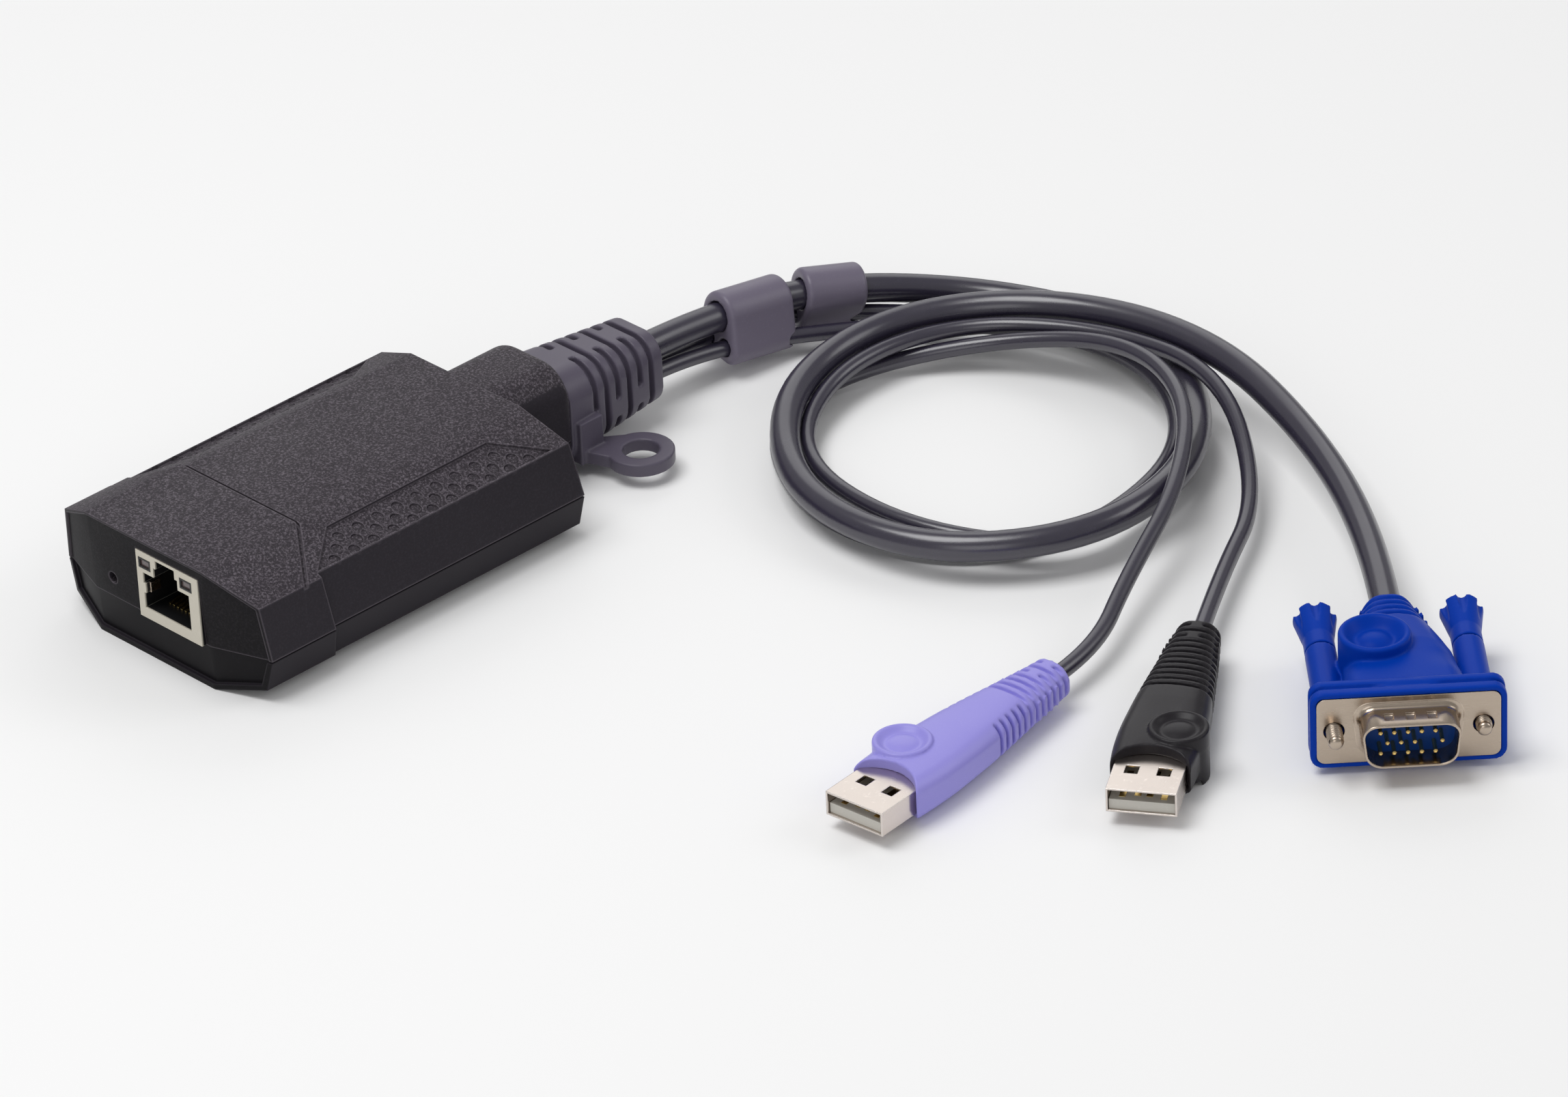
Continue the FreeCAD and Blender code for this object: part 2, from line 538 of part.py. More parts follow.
def covers():
    """Top and bottom cover."""
    outer = fused([housing_envelope(), neck()])
    reach = HOUSING_HEIGHT + 5
    cavity = section_prism(mirrored_ring(CAVITY_SECTION), along(WALL * 0.5),
                           along(HOUSING_LENGTH - REAR_LEAN - WALL)).common(behind_nose(WALL))
    shell = outer.cut([cavity] + boot_pocket())
    seam_top = block(along(-5), along(NECK_END + 5), -reach, reach, SEAM_Z, reach)
    top = shell.common(seam_top)
    bottom = shell.cut(seam_top)
    pillars = []
    posts = []
    for x, y in screw_places():
        pillars.append(cylinder((x, y, SEAM_Z), (0, 0, 1), PILLAR_RADIUS,
                                reach).common(outer))
        posts.append(cylinder((x, y, FLOOR), (0, 0, 1), PILLAR_RADIUS,
                              SEAM_Z).common(outer))
    for x in (BOARD_FRONT + 4, BOARD_REAR - 4):
        for side in (-1, 1):
            posts.append(cylinder((along(x), side * (BOARD_HALF - 2.5), FLOOR + WALL * 0.5),
                                  (0, 0, 1), FOOT_POST_RADIUS,
                                  BOARD_BOTTOM - FLOOR - WALL * 0.5))
    top = fused([top] + pillars)
    bottom = fused([bottom] + posts)

    top_tools = [jack_space(0.1)]
    top_tools += [shoulder_panel(side) for side in (-1, 1)]
    for side in (-1, 1):
        top_tools += dimples(side)
    top_tools.append(cylinder((along(-2), RESET_Y, RESET_Z), (1, 0, 0), RESET_HOLE_RADIUS,
                              WALL + 4))
    bottom_tools = [jack_space(0.1)]
    for x, y in screw_places():
        pilot = SCREW_RADIUS - SCREW_BITE
        top_tools.append(cylinder((x, y, SEAM_Z - 1), (0, 0, 1), pilot,
                                  HEAD_FLOOR + SCREW_LENGTH + 1.5 - SEAM_Z + 1))
        bottom_tools.append(cylinder((x, y, FLOOR - 1), (0, 0, 1), SCREW_RADIUS + 0.15,
                                     SEAM_Z + 2))
        bottom_tools.append(cylinder((x, y, FLOOR - 1), (0, 0, 1),
                                     SCREW_HEAD_RADIUS + HEAD_CLEARANCE, HEAD_FLOOR + 1))
    groove_outer = block(along(-5), along(NECK_END + 5), -reach, reach,
                         SEAM_Z - SEAM_GROOVE, SEAM_Z)
    groove_core = outer.copy()
    centre = Vector(along(HOUSING_LENGTH / 2), 0, SEAM_Z)
    squeeze = FreeCAD.Matrix()
    squeeze.move(centre * -1)
    squeeze.scale(1 - 2 * SEAM_GROOVE_DEPTH / HOUSING_LENGTH,
                  1 - SEAM_GROOVE_DEPTH / SEAM_HALF, 1)
    squeeze.move(centre)
    groove_core = groove_core.transformGeometry(squeeze)
    bottom_tools.append(groove_outer.cut(groove_core))

    front_step = behind_nose(-5).cut(behind_nose(RIM))
    rim_keep = section_prism(mirrored_ring([
        (SOLE_HALF - 0.3, FLOOR + RIM_WALL), (FOOT_HALF - RIM_WALL, FOOT_Z + RIM_WALL * 0.8),
        (SEAM_HALF - RIM_WALL, SEAM_Z + 0.01)]), along(-2), along(NOSE_SWEEP + 8))
    bottom_tools.append(front_step.common(rim_keep))
    top_recess = section_prism(mirrored_ring([
        (SEAM_HALF - RIM_WALL * 0.7, SEAM_Z - 1), (SEAM_HALF - RIM_WALL * 0.7, SEAM_Z),
        (SHOULDER_HALF - RIM_WALL * 0.7, SHOULDER_Z - 0.35),
        (TOP_HALF, HOUSING_HEIGHT - 0.45)]), along(-2), along(NOSE_SWEEP + 8))
    top_tools.append(behind_nose(-5).cut(behind_nose(0.35)).common(top_recess))
    return cut_all(top, top_tools), cut_all(bottom, bottom_tools)


BOARD_TOP = JACK_Z - JACK_HEIGHT / 2
BOARD_BOTTOM = BOARD_TOP - BOARD_THICKNESS


def cover_screws():
    """Four pan-head screws driven up from below."""
    solids = []
    for x, y in screw_places():
        head = cylinder((x, y, HEAD_FLOOR - SCREW_HEAD), (0, 0, 1), SCREW_HEAD_RADIUS, SCREW_HEAD)
        head = head.makeFillet(0.5, edges_where(
            head, lambda c, e: c.z < HEAD_FLOOR - SCREW_HEAD + 0.01 and e.Length > 8))
        shank = cylinder((x, y, HEAD_FLOOR - 0.2), (0, 0, 1), SCREW_RADIUS, SCREW_LENGTH + 0.2)
        recess = fused([block(x - a, x + a, y - b, y + b, HEAD_FLOOR - SCREW_HEAD - 1,
                              HEAD_FLOOR - SCREW_HEAD + 0.9) for a, b in ((1.3, 0.3), (0.3, 1.3))])
        solids.append(fused([head, shank]).cut(recess))
    return Part.makeCompound(solids)


# ---------------------------------------------------------------- inside
def main_board():
    """Circuit board with cut-outs for the screw pillars."""
    board = block(along(BOARD_FRONT), along(BOARD_REAR), -BOARD_HALF, BOARD_HALF,
                  BOARD_BOTTOM, BOARD_TOP)
    return board


def board_block(x, y, size_x, size_y, height):
    """Block standing on the board, centred on a point."""
    return block(along(x) - size_x / 2, along(x) + size_x / 2, y - size_y / 2, y + size_y / 2,
                 BOARD_TOP, BOARD_TOP + height)


def flat_chip(x, y, size_x, size_y, height):
    """Package lying on the board with a bevelled top edge."""
    body = board_block(x, y, size_x, size_y, height)
    rim = edges_where(body, lambda c, e: abs(c.z - BOARD_TOP - height) < 0.01)
    return body.makeChamfer(0.25, rim)


def crystal_can():
    """Oval metal can of the clock crystal."""
    length, width, height = CRYSTAL_SIZE
    body = board_block(CRYSTAL_X, CRYSTAL_Y, length, width, height)
    uprights = edges_where(body, lambda c, e: e.BoundBox.ZLength > height * 0.9)
    body = body.makeFillet(width * 0.45, uprights)
    rim = edges_where(body, lambda c, e: abs(c.z - BOARD_TOP - height) < 0.01)
    return body.makeFillet(0.3, rim)


def jack_body():
    """Plastic block of the network jack with its port, latch channel and light windows."""
    face = along(JACK_FACE)
    low_y, high_y = JACK_Y - JACK_WIDTH / 2, JACK_Y + JACK_WIDTH / 2
    low_z, high_z = JACK_Z - JACK_HEIGHT / 2, JACK_Z + JACK_HEIGHT / 2
    bezel = block(face, along(SHIELD_START), low_y, high_y, low_z, high_z)
    wall = SHIELD_WALL
    core = block(along(SHIELD_START) - 0.01, face + JACK_LENGTH - wall, low_y + wall,
                 high_y - wall, low_z + wall, high_z - wall)
    port = block(face - 1, face + PORT_DEPTH, PORT_Y - PORT_WIDTH / 2, PORT_Y + PORT_WIDTH / 2,
                 PORT_BOTTOM, PORT_TOP)
    wide = block(face - 1, face + LATCH_DEPTH, PORT_Y - LATCH_WIDTH / 2,
                 PORT_Y + LATCH_WIDTH / 2, PORT_TOP - 0.5, LATCH_STEP)
    narrow = block(face - 1, face + LATCH_DEPTH, PORT_Y - LATCH_TOP_WIDTH / 2,
                   PORT_Y + LATCH_TOP_WIDTH / 2, LATCH_STEP - 0.5, LATCH_TOP)
    tools = [port, wide, narrow]
    for side in (-1, 1):
        tools.append(led_block(side, LED_LENGTH, 0.0))
    finger = block(face, face + FINGER_LENGTH, PORT_Y + PORT_WIDTH / 2 - FINGER_PROUD,
                   PORT_Y + PORT_WIDTH / 2 + 0.2, FINGER_LOW, FINGER_HIGH)
    return fused([fused([bezel, core]).cut(tools), finger])


def led_block(side, length, inset):
    """Square light guide beside the latch channel."""
    y = PORT_Y + side * LED_OFFSET
    return block(along(JACK_FACE) - (1 if inset == 0 else -inset), along(JACK_FACE) + length,
                 y - LED_WIDTH / 2, y + LED_WIDTH / 2, LED_Z - LED_HEIGHT / 2,
                 LED_Z + LED_HEIGHT / 2)


def jack_shield():
    """Thin folded metal can round the jack, open at the front and underneath the board."""
    start, end = along(SHIELD_START), along(JACK_FACE) + JACK_LENGTH
    low_y, high_y = JACK_Y - JACK_WIDTH / 2, JACK_Y + JACK_WIDTH / 2
    low_z, high_z = JACK_Z - JACK_HEIGHT / 2, JACK_Z + JACK_HEIGHT / 2
    wall = SHIELD_WALL
    outside = block(start, end, low_y, high_y, low_z, high_z)
    inside = block(start - 1, end - wall, low_y + wall, high_y - wall, low_z + wall,
                   high_z - wall)
    return outside.cut(inside)


def jack_contacts():
    """Eight sprung wires that slope up from the port's floor."""
    face = along(JACK_FACE)
    solids = []
    for number in range(CONTACTS):
        y = PORT_Y + (number - (CONTACTS - 1) / 2) * CONTACT_PITCH
        x0, x1 = face + CONTACT_START, face + CONTACT_END
        z0 = PORT_BOTTOM
        t = CONTACT_THICKNESS
        outline = [(x0, z0), (x1, z0 + CONTACT_RISE), (face + PORT_DEPTH, z0 + CONTACT_RISE),
                   (face + PORT_DEPTH, z0 + CONTACT_RISE + t), (x1, z0 + CONTACT_RISE + t),
                   (x0 - 0.6, z0 + t), (x0 - 0.6, z0)]
        solids.append(profile_prism(outline, y - CONTACT_WIDTH / 2, y + CONTACT_WIDTH / 2))
    return Part.makeCompound(solids)


def reset_switch():
    """Switch body on the board, with a round bore for its plunger."""
    front = along(SWITCH_FRONT)
    half = SWITCH_SIZE / 2
    body = block(front, front + SWITCH_LENGTH, RESET_Y - half, RESET_Y + half, BOARD_TOP,
                 RESET_Z + half)
    bore = cylinder((front - 1, RESET_Y, RESET_Z), (1, 0, 0), PLUNGER_RADIUS + RUNNING_GAP,
                    1 + PLUNGER_LENGTH - PLUNGER_REACH + RESET_TRAVEL + 0.1)
    return body.cut(bore)


def reset_plunger():
    """Round plunger, pressed through the small hole in the jack face."""
    start = along(SWITCH_FRONT) - PLUNGER_REACH
    body = cylinder((start, RESET_Y, RESET_Z), (1, 0, 0), PLUNGER_RADIUS, PLUNGER_LENGTH)
    rim = edges_where(body, lambda c, e: abs(c.x - start) < 0.01 and e.Length > 6)
    return body.makeFillet(0.4, rim)


# ---------------------------------------------------------------- strain relief
def boot_section(distance, shrink=0.0):
    """Half width and corner of the strain relief at a distance behind the jack face."""
    share = (distance - NECK_END) / (OVERALL_LENGTH - NECK_END)
    half = BOOT_HALF_START + (BOOT_HALF_END - BOOT_HALF_START) * share
    return (along(distance), half - shrink, half - shrink, (half - shrink) * BOOT_CORNER_RATIO)


def boot_core(shrink):
    """Tapered body of the strain relief, thinner by shrink all round."""
    return rounded_loft(boot_section(NECK_END, shrink), boot_section(OVERALL_LENGTH, shrink),
                        lambda s, u, v: Vector(s, u, BOOT_Z + v))


def boot_grooves():
    """Flexing grooves, by turns whole and broken by webs."""
    core = boot_core(BOOT_GROOVE_DEPTH)
    reach = BOOT_HALF_START + 2
    web = BOOT_WEB / 2
    tools = []
    for number in range(BOOT_GROOVES):
        x0 = along(BOOT_GROOVE_FIRST + number * BOOT_GROOVE_PITCH)
        x1 = x0 + BOOT_GROOVE
        ring = block(x0, x1, -reach, reach, BOOT_Z - reach, BOOT_Z + reach).cut(core)
        if number % 2 == 0:
            upright = block(x0 - 1, x1 + 1, -web, web, BOOT_Z - reach, BOOT_Z + reach)
            level = block(x0 - 1, x1 + 1, -reach, reach, BOOT_Z - web - 1.6, BOOT_Z + web - 2.6)
            ring = ring.cut([upright, level])
        tools.append(ring)
    return tools


def hanging_ring():
    """Strap down the side of the strain relief and the flat ring at its foot."""
    ring_x, ring_y = along(RING_CENTRE[0]), RING_CENTRE[1]
    low = RING_TOP - RING_THICKNESS
    x0 = along(STRAP_START)
    x1 = x0 + STRAP_WIDTH
    edge = -BOOT_HALF_START
    strap = block(x0, x1, edge - STRAP_THICKNESS * 0.5, edge + STRAP_THICKNESS, low, BOOT_Z)
    plate = cylinder((ring_x, ring_y, low), (0, 0, 1), RING_RADIUS, RING_THICKNESS)
    tab = plan_prism([(x0, edge + STRAP_THICKNESS), (x1, edge + STRAP_THICKNESS),
                      (ring_x + RING_RADIUS * 0.86, ring_y + RING_RADIUS * 0.5),
                      (ring_x - RING_RADIUS * 0.94, ring_y + RING_RADIUS * 0.34)],
                     low, RING_TOP)
    hole = cylinder((ring_x, ring_y, low - 1), (0, 0, 1), RING_HOLE_RADIUS, RING_THICKNESS + 2)
    return fused([strap, plate, tab]), hole


def strain_relief():
    """Moulded strain relief with its hanging ring."""
    start = along(BOOT_STUB_START)
    stub = cylinder((start, 0, BOOT_Z), (1, 0, 0), BOOT_STUB_RADIUS - 0.1,
                    along(NECK_END) - start + 1)
    flange = cylinder((start + 0.1, 0, BOOT_Z), (1, 0, 0), BOOT_FLANGE_RADIUS - 0.1,
                      BOOT_FLANGE - 0.2)
    body = boot_core(0).cut(boot_grooves())
    ring, hole = hanging_ring()
    return fused([body, stub, flange, ring]).cut(hole)


# ---------------------------------------------------------------- cords
def route_path(points):
    """Straight runs joined by tangent arcs, and the radius of each arc."""
    ring = [Vector(*p) for p in points]
    edges = []
    radii = []
    start = ring[0]
    for before, corner, after in zip(ring, ring[1:], ring[2:]):
        entering = (corner - before)
        leaving = (after - corner)
        reach = ARC_SHARE * min(entering.Length, leaving.Length)
        entering.normalize()
        leaving.normalize()
        turn = entering.getAngle(leaving)
        radius = reach / math.tan(turn / 2)
        first = corner - entering * reach
        last = corner + leaving * reach
        inward = leaving - entering
        inward.normalize()
        middle = corner + inward * (radius / math.cos(turn / 2) - radius)
        edges.append(Part.LineSegment(start, first).toShape())
        edges.append(Part.Arc(first, middle, last).toShape())
        radii.append(radius)
        start = last
    edges.append(Part.LineSegment(start, ring[-1]).toShape())
    return Part.Wire(edges), radii


def cord_tube(points, diameter):
    """Round tube along a route."""
    path, radii = route_path(points)
    start = Vector(*points[0])
    heading = Vector(*points[1]) - start
    mouth = Part.Wire(Part.makeCircle(diameter / 2, start, heading))
    tube = path.makePipeShell([mouth], True, False)
    return tube, path, radii


def sleeve_section(circles):
    """Face inside a belt drawn tight round several circles."""
    middle = sum((centre for centre, _ in circles), Vector()) / len(circles)
    ordered = sorted(circles, key=lambda c: math.atan2(c[0].y - middle.y, c[0].x - middle.x))
    count = len(ordered)
    normals = []
    for number in range(count):
        (c1, r1), (c2, r2) = ordered[number], ordered[(number + 1) % count]
        way = c2 - c1
        cosine = (r1 - r2) / way.Length
        way.normalize()
        normals.append(way * cosine + Vector(way.y, -way.x, 0) * math.sqrt(1 - cosine ** 2))
    edges = []
    for number in range(count):
        centre, radius = ordered[number]
        entering, leaving = normals[number - 1], normals[number]
        first = math.atan2(entering.y, entering.x)
        last = math.atan2(leaving.y, leaving.x)
        if last < first:
            last += 2 * math.pi
        half = (first + last) / 2
        top = Vector(math.cos(half), math.sin(half), 0)
        edges.append(Part.Arc(centre + entering * radius, centre + top * radius,
                              centre + leaving * radius).toShape())
        after, size = ordered[(number + 1) % count]
        edges.append(Part.LineSegment(centre + leaving * radius,
                                      after + leaving * size).toShape())
    return Part.Face(Part.Wire(edges))


def route_at(path, x):
    """Point and heading where a path first crosses a plane x."""
    for edge in path.Edges:
        first, last = edge.Vertexes[0].Point, edge.Vertexes[-1].Point
        low, high = min(first.x, last.x), max(first.x, last.x)
        if low <= x <= high:
            a, b = edge.FirstParameter, edge.LastParameter
            rising = edge.valueAt(b).x > edge.valueAt(a).x
            for _ in range(40):
                middle = (a + b) / 2
                if (edge.valueAt(middle).x < x) == rising:
                    a = middle
                else:
                    b = middle
            return edge.valueAt(a), edge.tangentAt(a)
    raise ValueError("the path does not reach x = %s" % x)


def cord_clip(paths, x, length):
    """Moulded sleeve that holds a thick cord and thin ones, bored along their paths."""
    thick, heading = route_at(paths[0], x)
    across = Vector(0, 0, 1).cross(heading).normalize()
    over = heading.cross(across)
    circles = []
    for number, path in enumerate(paths):
        place, _ = route_at(path, x)
        radius = (THIN_DIAMETER / 2 + CLIP_THIN_WALL if number else
                  THICK_DIAMETER / 2 + CLIP_THICK_WALL)
        offset = place - thick
        circles.append((Vector(offset.dot(across), offset.dot(over), 0), radius))
    body = sleeve_section(circles).extrude(Vector(0, 0, length))
    ends = edges_where(body, lambda c, e: abs(c.z) < 0.01 or abs(c.z - length) < 0.01)
    body = body.makeFillet(CLIP_EDGE, ends)
    start = thick - heading * (length / 2)
    body = body.transformGeometry(FreeCAD.Matrix(
        across.x, over.x, heading.x, start.x, across.y, over.y, heading.y, start.y,
        across.z, over.z, heading.z, start.z, 0, 0, 0, 1))
    diameters = (THICK_DIAMETER,) + (THIN_DIAMETER,) * (len(paths) - 1)
    return body.cut([bore_along(path, x, length, diameter)
                     for path, diameter in zip(paths, diameters)])


def bore_along(path, x, length, diameter):
    """Clearance tube along the stretch of a path that passes a clip."""
    near = []
    for edge in path.Edges:
        if edge.BoundBox.XMin > x + length:
            break
        if edge.BoundBox.XMax > x - length:
            near.append(edge)
    stretch = Part.Wire(near)
    first = near[0]
    heading = first.tangentAt(first.FirstParameter)
    mouth = Part.Wire(Part.makeCircle(diameter / 2 + CLIP_CLEARANCE,
                                      first.valueAt(first.FirstParameter), heading))
    return stretch.makePipeShell([mouth], True, False)


# ---------------------------------------------------------------- plugs
def plug_frame(points):
    """Placement of a plug whose cord ends at its route's last point."""
    start, end = Vector(*points[-1]), Vector(*points[-2])
    back = end - start
    angle = math.degrees(math.atan2(-back.x, back.y))
    return Placement(Vector(start.x, start.y, 0), Rotation(Vector(0, 0, 1), angle))


def placed(shape, points, length):
    """Move a plug part from its own frame, with y = 0 at the mouth, to its cord's end."""
    moved = shape.copy()
    moved.translate(Vector(0, -length, 0))
    moved.Placement = plug_frame(points).multiply(moved.Placement)
    return moved


def grip_outline():
    """Plan of the USB grip: scalloped collar, waist and taper to the cord."""
    a, b = GRIP_FRONT_HALF, GRIP_FRONT
    p0 = Vector(-a, b, 0)
    p1 = Vector(a, b, 0)
    dip = Vector(0, b + GRIP_SCALLOP, 0)
    w, wy = GRIP_WAIST_HALF, GRIP_WAIST_AT
    e, ey = GRIP_END_HALF, USB_LENGTH
    front = Part.Arc(p0, dip, p1).toShape()
    right = Part.BSplineCurve()
    right.interpolate([p1, Vector(GRIP_BULGE_HALF, (b + wy) / 2, 0), Vector(w, wy, 0),
                       Vector((w + e) / 2, (wy + ey) / 2 + 1, 0), Vector(e, ey, 0)])
    left = Part.BSplineCurve()
    left.interpolate([Vector(-e, ey, 0), Vector(-(w + e) / 2, (wy + ey) / 2 + 1, 0),
                      Vector(-w, wy, 0), Vector(-GRIP_BULGE_HALF, (b + wy) / 2, 0), p0])
    end = Part.LineSegment(Vector(e, ey, 0), Vector(-e, ey, 0)).toShape()
    return Part.Wire([front, right.toShape(), end, left.toShape()])


def usb_grip(boss_side, side_slots):
    """Moulded grip of a USB plug, with its round boss offset to one side."""
    axis_z = BOSS_HEIGHT / 2
    low, high = axis_z - GRIP_THICKNESS / 2, axis_z + GRIP_THICKNESS / 2
    plan = Part.Face(grip_outline())
    plan.translate(Vector(0, 0, low))
    body = plan.extrude(Vector(0, 0, high - low))
    drop = (GRIP_THICKNESS - GRIP_END_THICKNESS) / 2
    side = face_of([(-20, GRIP_FRONT - 5, low), (-20, GRIP_WAIST_AT, low),
                    (-20, USB_LENGTH, low + drop), (-20, USB_LENGTH, high - drop),
                    (-20, GRIP_WAIST_AT, high), (-20, GRIP_FRONT - 5, high)])
    body = body.common(side.extrude(Vector(40, 0, 0)))
    long_edges = edges_where(body, lambda c, e: e.Length > 8 and abs(c.x) > 3
                             and abs(abs(c.z - axis_z) - GRIP_THICKNESS / 2) < drop + 0.1)
    body = body.makeFillet(GRIP_EDGE, long_edges)
    boss_x = boss_side * BOSS_OFFSET
    boss = cylinder((boss_x, BOSS_AT, 0), (0, 0, 1), BOSS_RADIUS, BOSS_HEIGHT)
    body = fused([body, boss])
    tools = []
    for number in range(GRIP_RIBS):
        y0 = GRIP_RIB_FIRST + number * GRIP_RIB_PITCH
        if y0 + GRIP_RIB_SLOT > USB_LENGTH - 0.4:
            break
        share = (y0 - GRIP_WAIST_AT) / (USB_LENGTH - GRIP_WAIST_AT)
        half_x = GRIP_WAIST_HALF + (GRIP_END_HALF - GRIP_WAIST_HALF) * share - GRIP_RIB_DEPTH
        half_z = GRIP_THICKNESS / 2 - drop * share - GRIP_RIB_DEPTH
        slab = block(-12, 12, y0, y0 + GRIP_RIB_SLOT, axis_z - 12, axis_z + 12)
        if number < side_slots:
            half_x -= GRIP_SIDE_SLOT_DEPTH - GRIP_RIB_DEPTH
            half_z = GRIP_THICKNESS
        kept = [block(-half_x, half_x, y0 - 1, y0 + GRIP_RIB_SLOT + 1, axis_z - half_z,
                      axis_z + half_z)]
        if number >= GRIP_RIBS - GRIP_BRIDGED and number % 2:
            kept.append(block(-GRIP_BRIDGE_HALF, GRIP_BRIDGE_HALF, y0 - 1,
                              y0 + GRIP_RIB_SLOT + 1, axis_z - 12, axis_z + 12))
        tools.append(slab.cut(kept))
    for face_z, way in ((BOSS_HEIGHT, -1), (0.0, 1)):
        start = face_z - way * 0.5
        moat = cylinder((boss_x, BOSS_AT, start), (0, 0, way), BOSS_RADIUS - BOSS_RING,
                        BOSS_MOAT_DEPTH + 0.5)
        island = cylinder((boss_x, BOSS_AT, start), (0, 0, way),
                          BOSS_RADIUS - BOSS_RING - BOSS_MOAT, BOSS_MOAT_DEPTH + 0.5)
        flush = cylinder((boss_x, BOSS_AT, start), (0, 0, way),
                         BOSS_RADIUS - BOSS_RING - BOSS_MOAT + 0.01, 0.5 + 0.35)
        tools += [moat.cut(island), flush]
    shell_x, shell_z = USB_SHELL_WIDTH / 2, USB_SHELL_HEIGHT / 2
    tools.append(block(-shell_x, shell_x, 0, USB_SHELL_LENGTH, axis_z - shell_z,
                       axis_z + shell_z))
    return body.cut(tools)


def usb_shell():
    """Folded metal shell with two latch windows above and two below."""
    axis_z = BOSS_HEIGHT / 2
    hx, hz, t = USB_SHELL_WIDTH / 2, USB_SHELL_HEIGHT / 2, USB_SHELL_WALL
    outside = block(-hx, hx, 0, USB_SHELL_LENGTH, axis_z - hz, axis_z + hz)
    inside = block(-hx + t, hx - t, -1, USB_SHELL_LENGTH - t, axis_z - hz + t, axis_z + hz - t)
    across, lengthways = USB_WINDOW
    tools = [inside]
    for side in (-1, 1):
        x = side * USB_WINDOW_OFFSET
        tools.append(block(x - across / 2, x + across / 2, USB_WINDOW_START,
                           USB_WINDOW_START + lengthways, axis_z - hz - 1, axis_z + hz + 1))
    return outside.cut(tools)


def usb_tongue():
    """Plastic tongue along the lower inside of the shell."""
    axis_z = BOSS_HEIGHT / 2
    hx = USB_SHELL_WIDTH / 2 - USB_SHELL_WALL - USB_TONGUE_GAP
    low = axis_z - USB_SHELL_HEIGHT / 2 + USB_SHELL_WALL + 0.02
    end = USB_SHELL_LENGTH - USB_SHELL_WALL - 0.05
    body = block(-hx, hx, USB_TONGUE_MOUTH, end, low, low + USB_TONGUE_HEIGHT)
    tools = []
    for x, start in USB_PINS:
        tools.append(usb_pin(x, start, 0.0))
    return body.cut(tools)


def usb_pin(x, start, lift):
    """One flat contact in the top of the tongue."""
    axis_z = BOSS_HEIGHT / 2
    top = axis_z - USB_SHELL_HEIGHT / 2 + USB_SHELL_WALL + 0.02 + USB_TONGUE_HEIGHT
    return block(x - USB_PIN_WIDTH / 2, x + USB_PIN_WIDTH / 2, USB_TONGUE_MOUTH + start,
                 USB_TONGUE_MOUTH + start + USB_PIN_LENGTH, top - USB_PIN_THICKNESS, top + lift)


def usb_contacts():
    """Four flat contacts."""
    return Part.makeCompound([usb_pin(x, start, 0.05) for x, start in USB_PINS])


def vga_place(y, u, v):
    """Point of the VGA plug's cross-section at depth y."""
    return Vector(u, y, VGA_Z + v)


def d_wire(y, shrink):
    """D outline of the VGA shell at depth y, smaller by shrink."""
    top, low = D_TOP_HALF - shrink, D_BOTTOM_HALF - shrink
    half = D_HEIGHT / 2 - shrink
    ring = [vga_place(y, u, v) for u, v in
            ((-top, half), (top, half), (low, -half), (-low, -half))]
    return Part.makePolygon(ring + ring[:1])


def d_prism(y0, y1, shrink):
    """Solid with the D outline and rounded corners."""
    body = Part.Face(d_wire(y0, shrink)).extrude(Vector(0, y1 - y0, 0))
    corners = edges_where(body, lambda c, e: abs(e.BoundBox.YLength - (y1 - y0)) < 0.01)
    return body.makeFillet(max(D_CORNER - shrink, 0.3), corners)


def rounded_slab(y0, y1, half_x, half_z, corner):
    """Rounded rectangular slab between two depths."""
    return rounded_loft((y0, half_x, half_z, corner), (y1, half_x, half_z, corner), vga_place)


